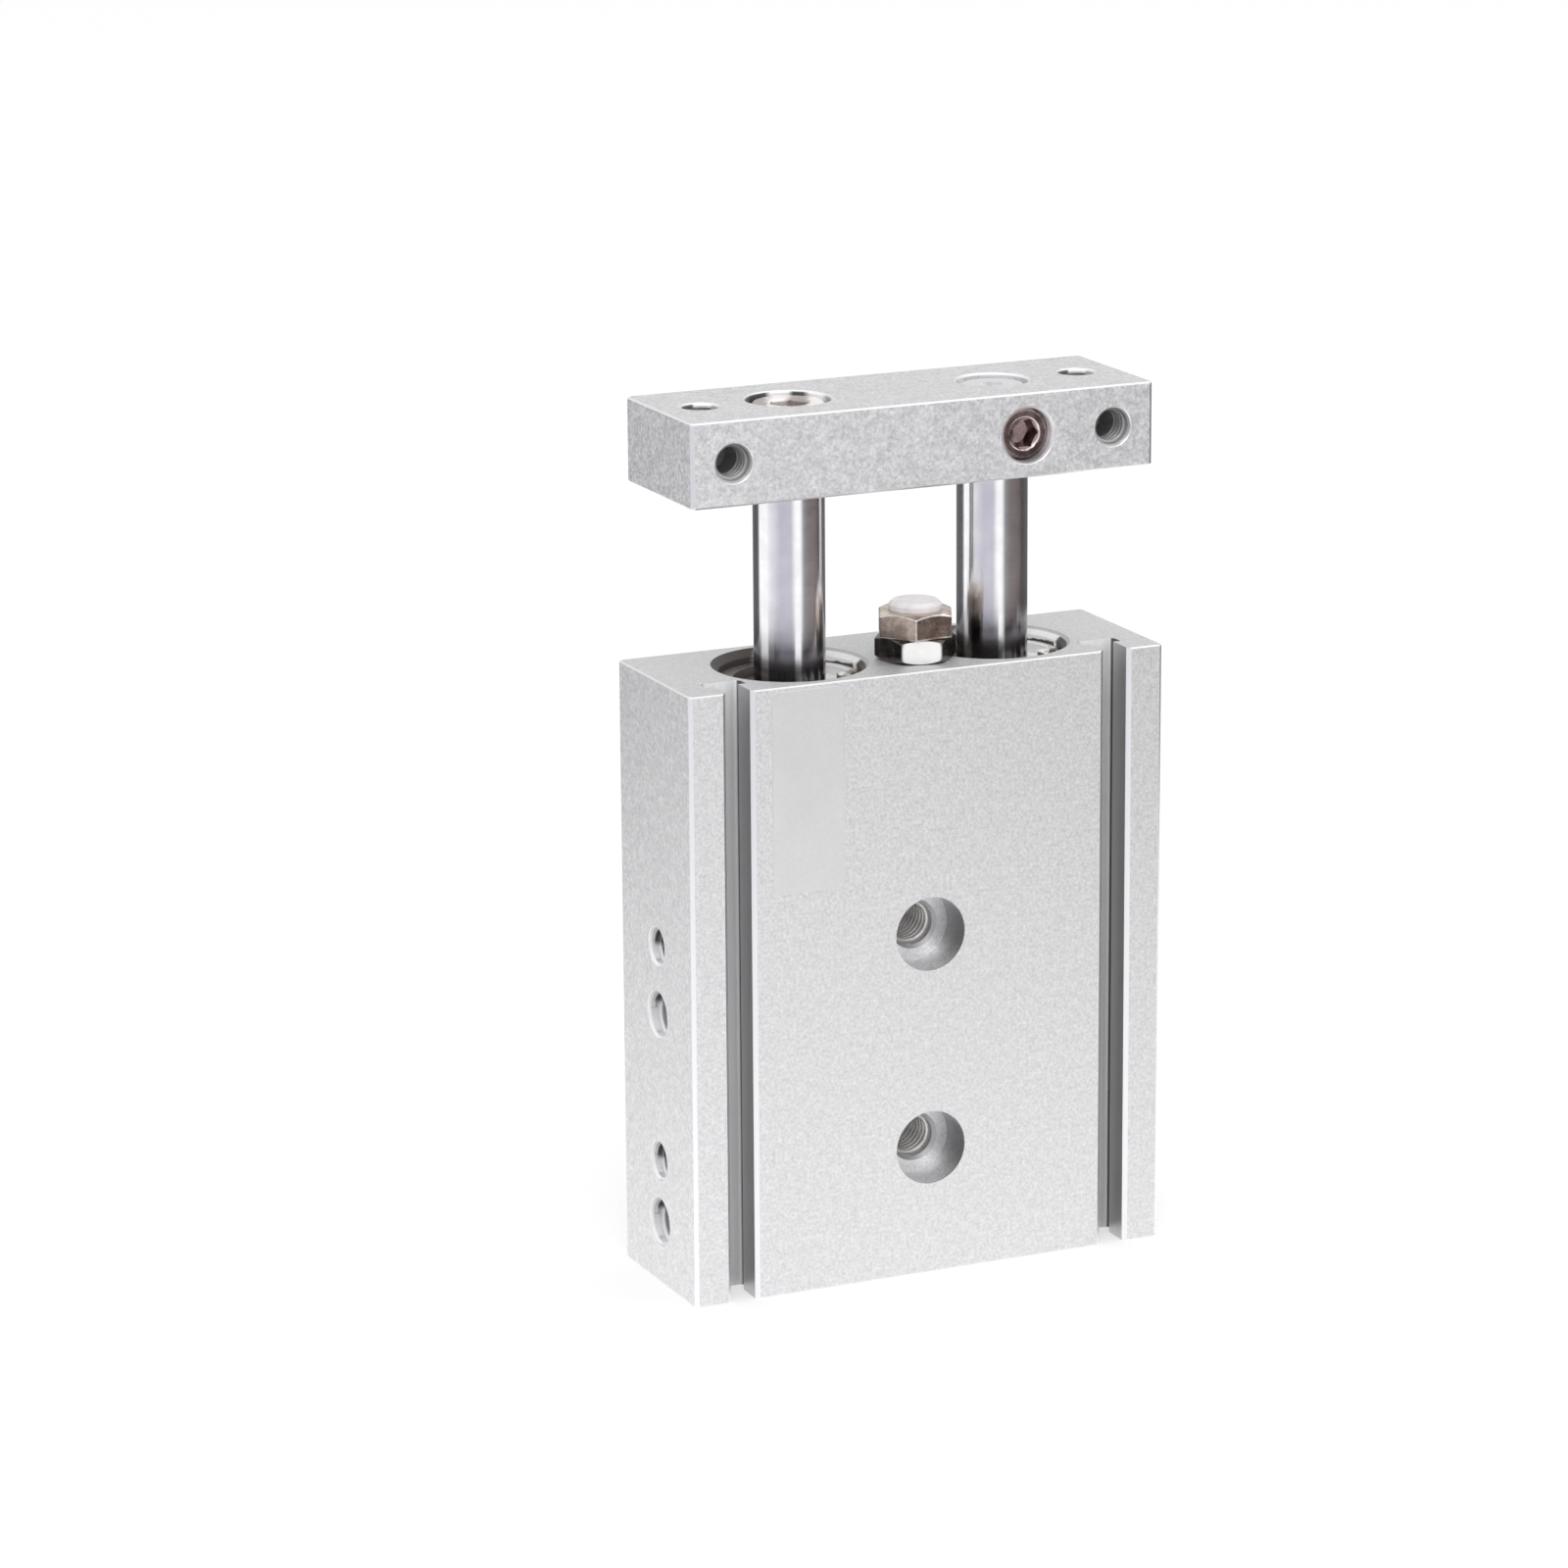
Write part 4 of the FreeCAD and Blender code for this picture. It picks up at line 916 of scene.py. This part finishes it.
def floor_material():
    """Pale floor that renders white in the open and keeps the object's shadow.

    In reflections it has light and dark stretches, by distance to the front right in millimetres.
    """
    material, graph = empty_material("floor")
    path = graph.add("ShaderNodeLightPath")
    ahead = graph.along((0.41, -0.91, 0.0), graph.places()[0])
    card = graph.ramp(graph.span(ahead, -600.0, 600.0, 0.0, 1.0), [
        (0.0, 0.3), (0.2, 0.34), (0.3, 0.42), (0.4, 0.52), (0.5, 0.72), (0.6, 0.64), (0.7, 0.56), (0.85, 0.5),
    ])
    pale = graph.add("ShaderNodeBsdfDiffuse", {"Color": (0.42, 0.42, 0.42, 1)})
    seen = graph.add("ShaderNodeEmission", {
        "Color": (0.56, 0.56, 0.56, 1), "Strength": path.outputs["Is Camera Ray"],
    })
    shown = graph.add("ShaderNodeEmission", {"Color": card, "Strength": path.outputs["Is Glossy Ray"]})
    both = graph.add("ShaderNodeAddShader", {0: seen.outputs[0], 1: shown.outputs[0]})
    whole = graph.add("ShaderNodeAddShader", {0: pale.outputs[0], 1: both.outputs[0]})
    graph.add("ShaderNodeOutputMaterial", {"Surface": whole.outputs[0]})
    return material


FLOOR_HALF_WIDTH = 3.0

sheet = bmesh.new()
bmesh.ops.create_grid(sheet, x_segments=2, y_segments=2, size=FLOOR_HALF_WIDTH)
floor = object_from(sheet, "floor", floor_material())


def reflector_material():
    """Surround by degrees from the camera: a white card on each side of a grey wall, and a dark room."""
    material, graph = empty_material("reflector")
    source = graph.add("ShaderNodeTexCoord").outputs["Object"]
    around = graph.add("ShaderNodeTexGradient", {"Vector": source}, gradient_type="RADIAL").outputs["Fac"]
    white = (0.97, 0.97, 0.97)
    pale = (0.75, 0.75, 0.79)
    grey = (0.47, 0.46, 0.54)
    dim = (0.19, 0.19, 0.2)
    cool = (0.08, 0.08, 0.09)
    warm = (0.11, 0.08, 0.08)
    black = (0.05, 0.04, 0.04)
    surround = [
        (-180, dim), (-130, cool), (-113, cool), (-104, white), (-75, white), (-62, pale), (-30, grey),
        (3, grey), (18, white), (32, white), (44, dim), (60, warm), (95, warm), (112, black), (180, dim),
    ]
    tone = graph.ramp(around, [(0.5 + degrees / 360, colour) for degrees, colour in surround])
    glow = graph.add("ShaderNodeEmission", {"Color": tone, "Strength": 1.12})
    graph.add("ShaderNodeOutputMaterial", {"Surface": glow.outputs[0]})
    return material


RING_RADIUS = 0.21
RING_LOW, RING_HIGH = 0.004, 0.085
RING_SEGMENTS = 96
RING_TURN = math.radians(-114.3)    # turns the surround's middle towards the camera

wall = bmesh.new()
columns = []
for k in range(RING_SEGMENTS):
    angle = 2 * math.pi * k / RING_SEGMENTS
    x, y = RING_RADIUS * math.cos(angle), RING_RADIUS * math.sin(angle)
    columns.append([wall.verts.new((x, y, height)) for height in (RING_LOW, RING_HIGH)])
for k, (low, high) in enumerate(columns):
    next_low, next_high = columns[(k + 1) % RING_SEGMENTS]
    wall.faces.new((low, next_low, next_high, high))
reflector = object_from(wall, "reflector", reflector_material())
reflector.rotation_euler = (0, 0, RING_TURN)
reflector.visible_camera = False
reflector.visible_diffuse = False
reflector.visible_shadow = False
reflector.visible_transmission = False
reflector.visible_volume_scatter = False


def softbox(name, position, target, size, power):
    """Round area light that faces a target."""
    data = bpy.data.lights.new(name, "AREA")
    data.shape = "DISK"
    data.size = size
    data.energy = power
    lamp = bpy.data.objects.new(name, data)
    lamp.location = position
    lamp.rotation_euler = (Vector(target) - Vector(position)).to_track_quat("-Z", "Y").to_euler()
    scene.collection.objects.link(lamp)
    return lamp


softbox("key", (-0.35, -0.75, 0.95), CENTRE, 0.5, 3.0)
softbox("fill", (0.75, -0.45, 0.6), CENTRE, 0.6, 1.2)

scene.view_settings.view_transform = "Standard"


# ---- camera ----

YAW, PITCH, ROLL = 0.42452788, 0.25441065, -0.0072478
CAMERA_AIM = Vector((-0.0133087, 0.0, 0.0562680))
CAMERA_DISTANCE = 0.656

lens = bpy.data.cameras.new("camera")
lens.sensor_width = 36.0
lens.lens = 135.08
camera = bpy.data.objects.new("camera", lens)
turn = (
    Matrix.Rotation(-YAW, 4, "Z")
    @ Matrix.Rotation(math.pi / 2 - PITCH, 4, "X")
    @ Matrix.Rotation(ROLL, 4, "Z")
)
forward = turn.to_3x3() @ Vector((0, 0, -1))
camera.matrix_world = Matrix.Translation(CAMERA_AIM - forward * CAMERA_DISTANCE) @ turn
scene.collection.objects.link(camera)
scene.camera = camera
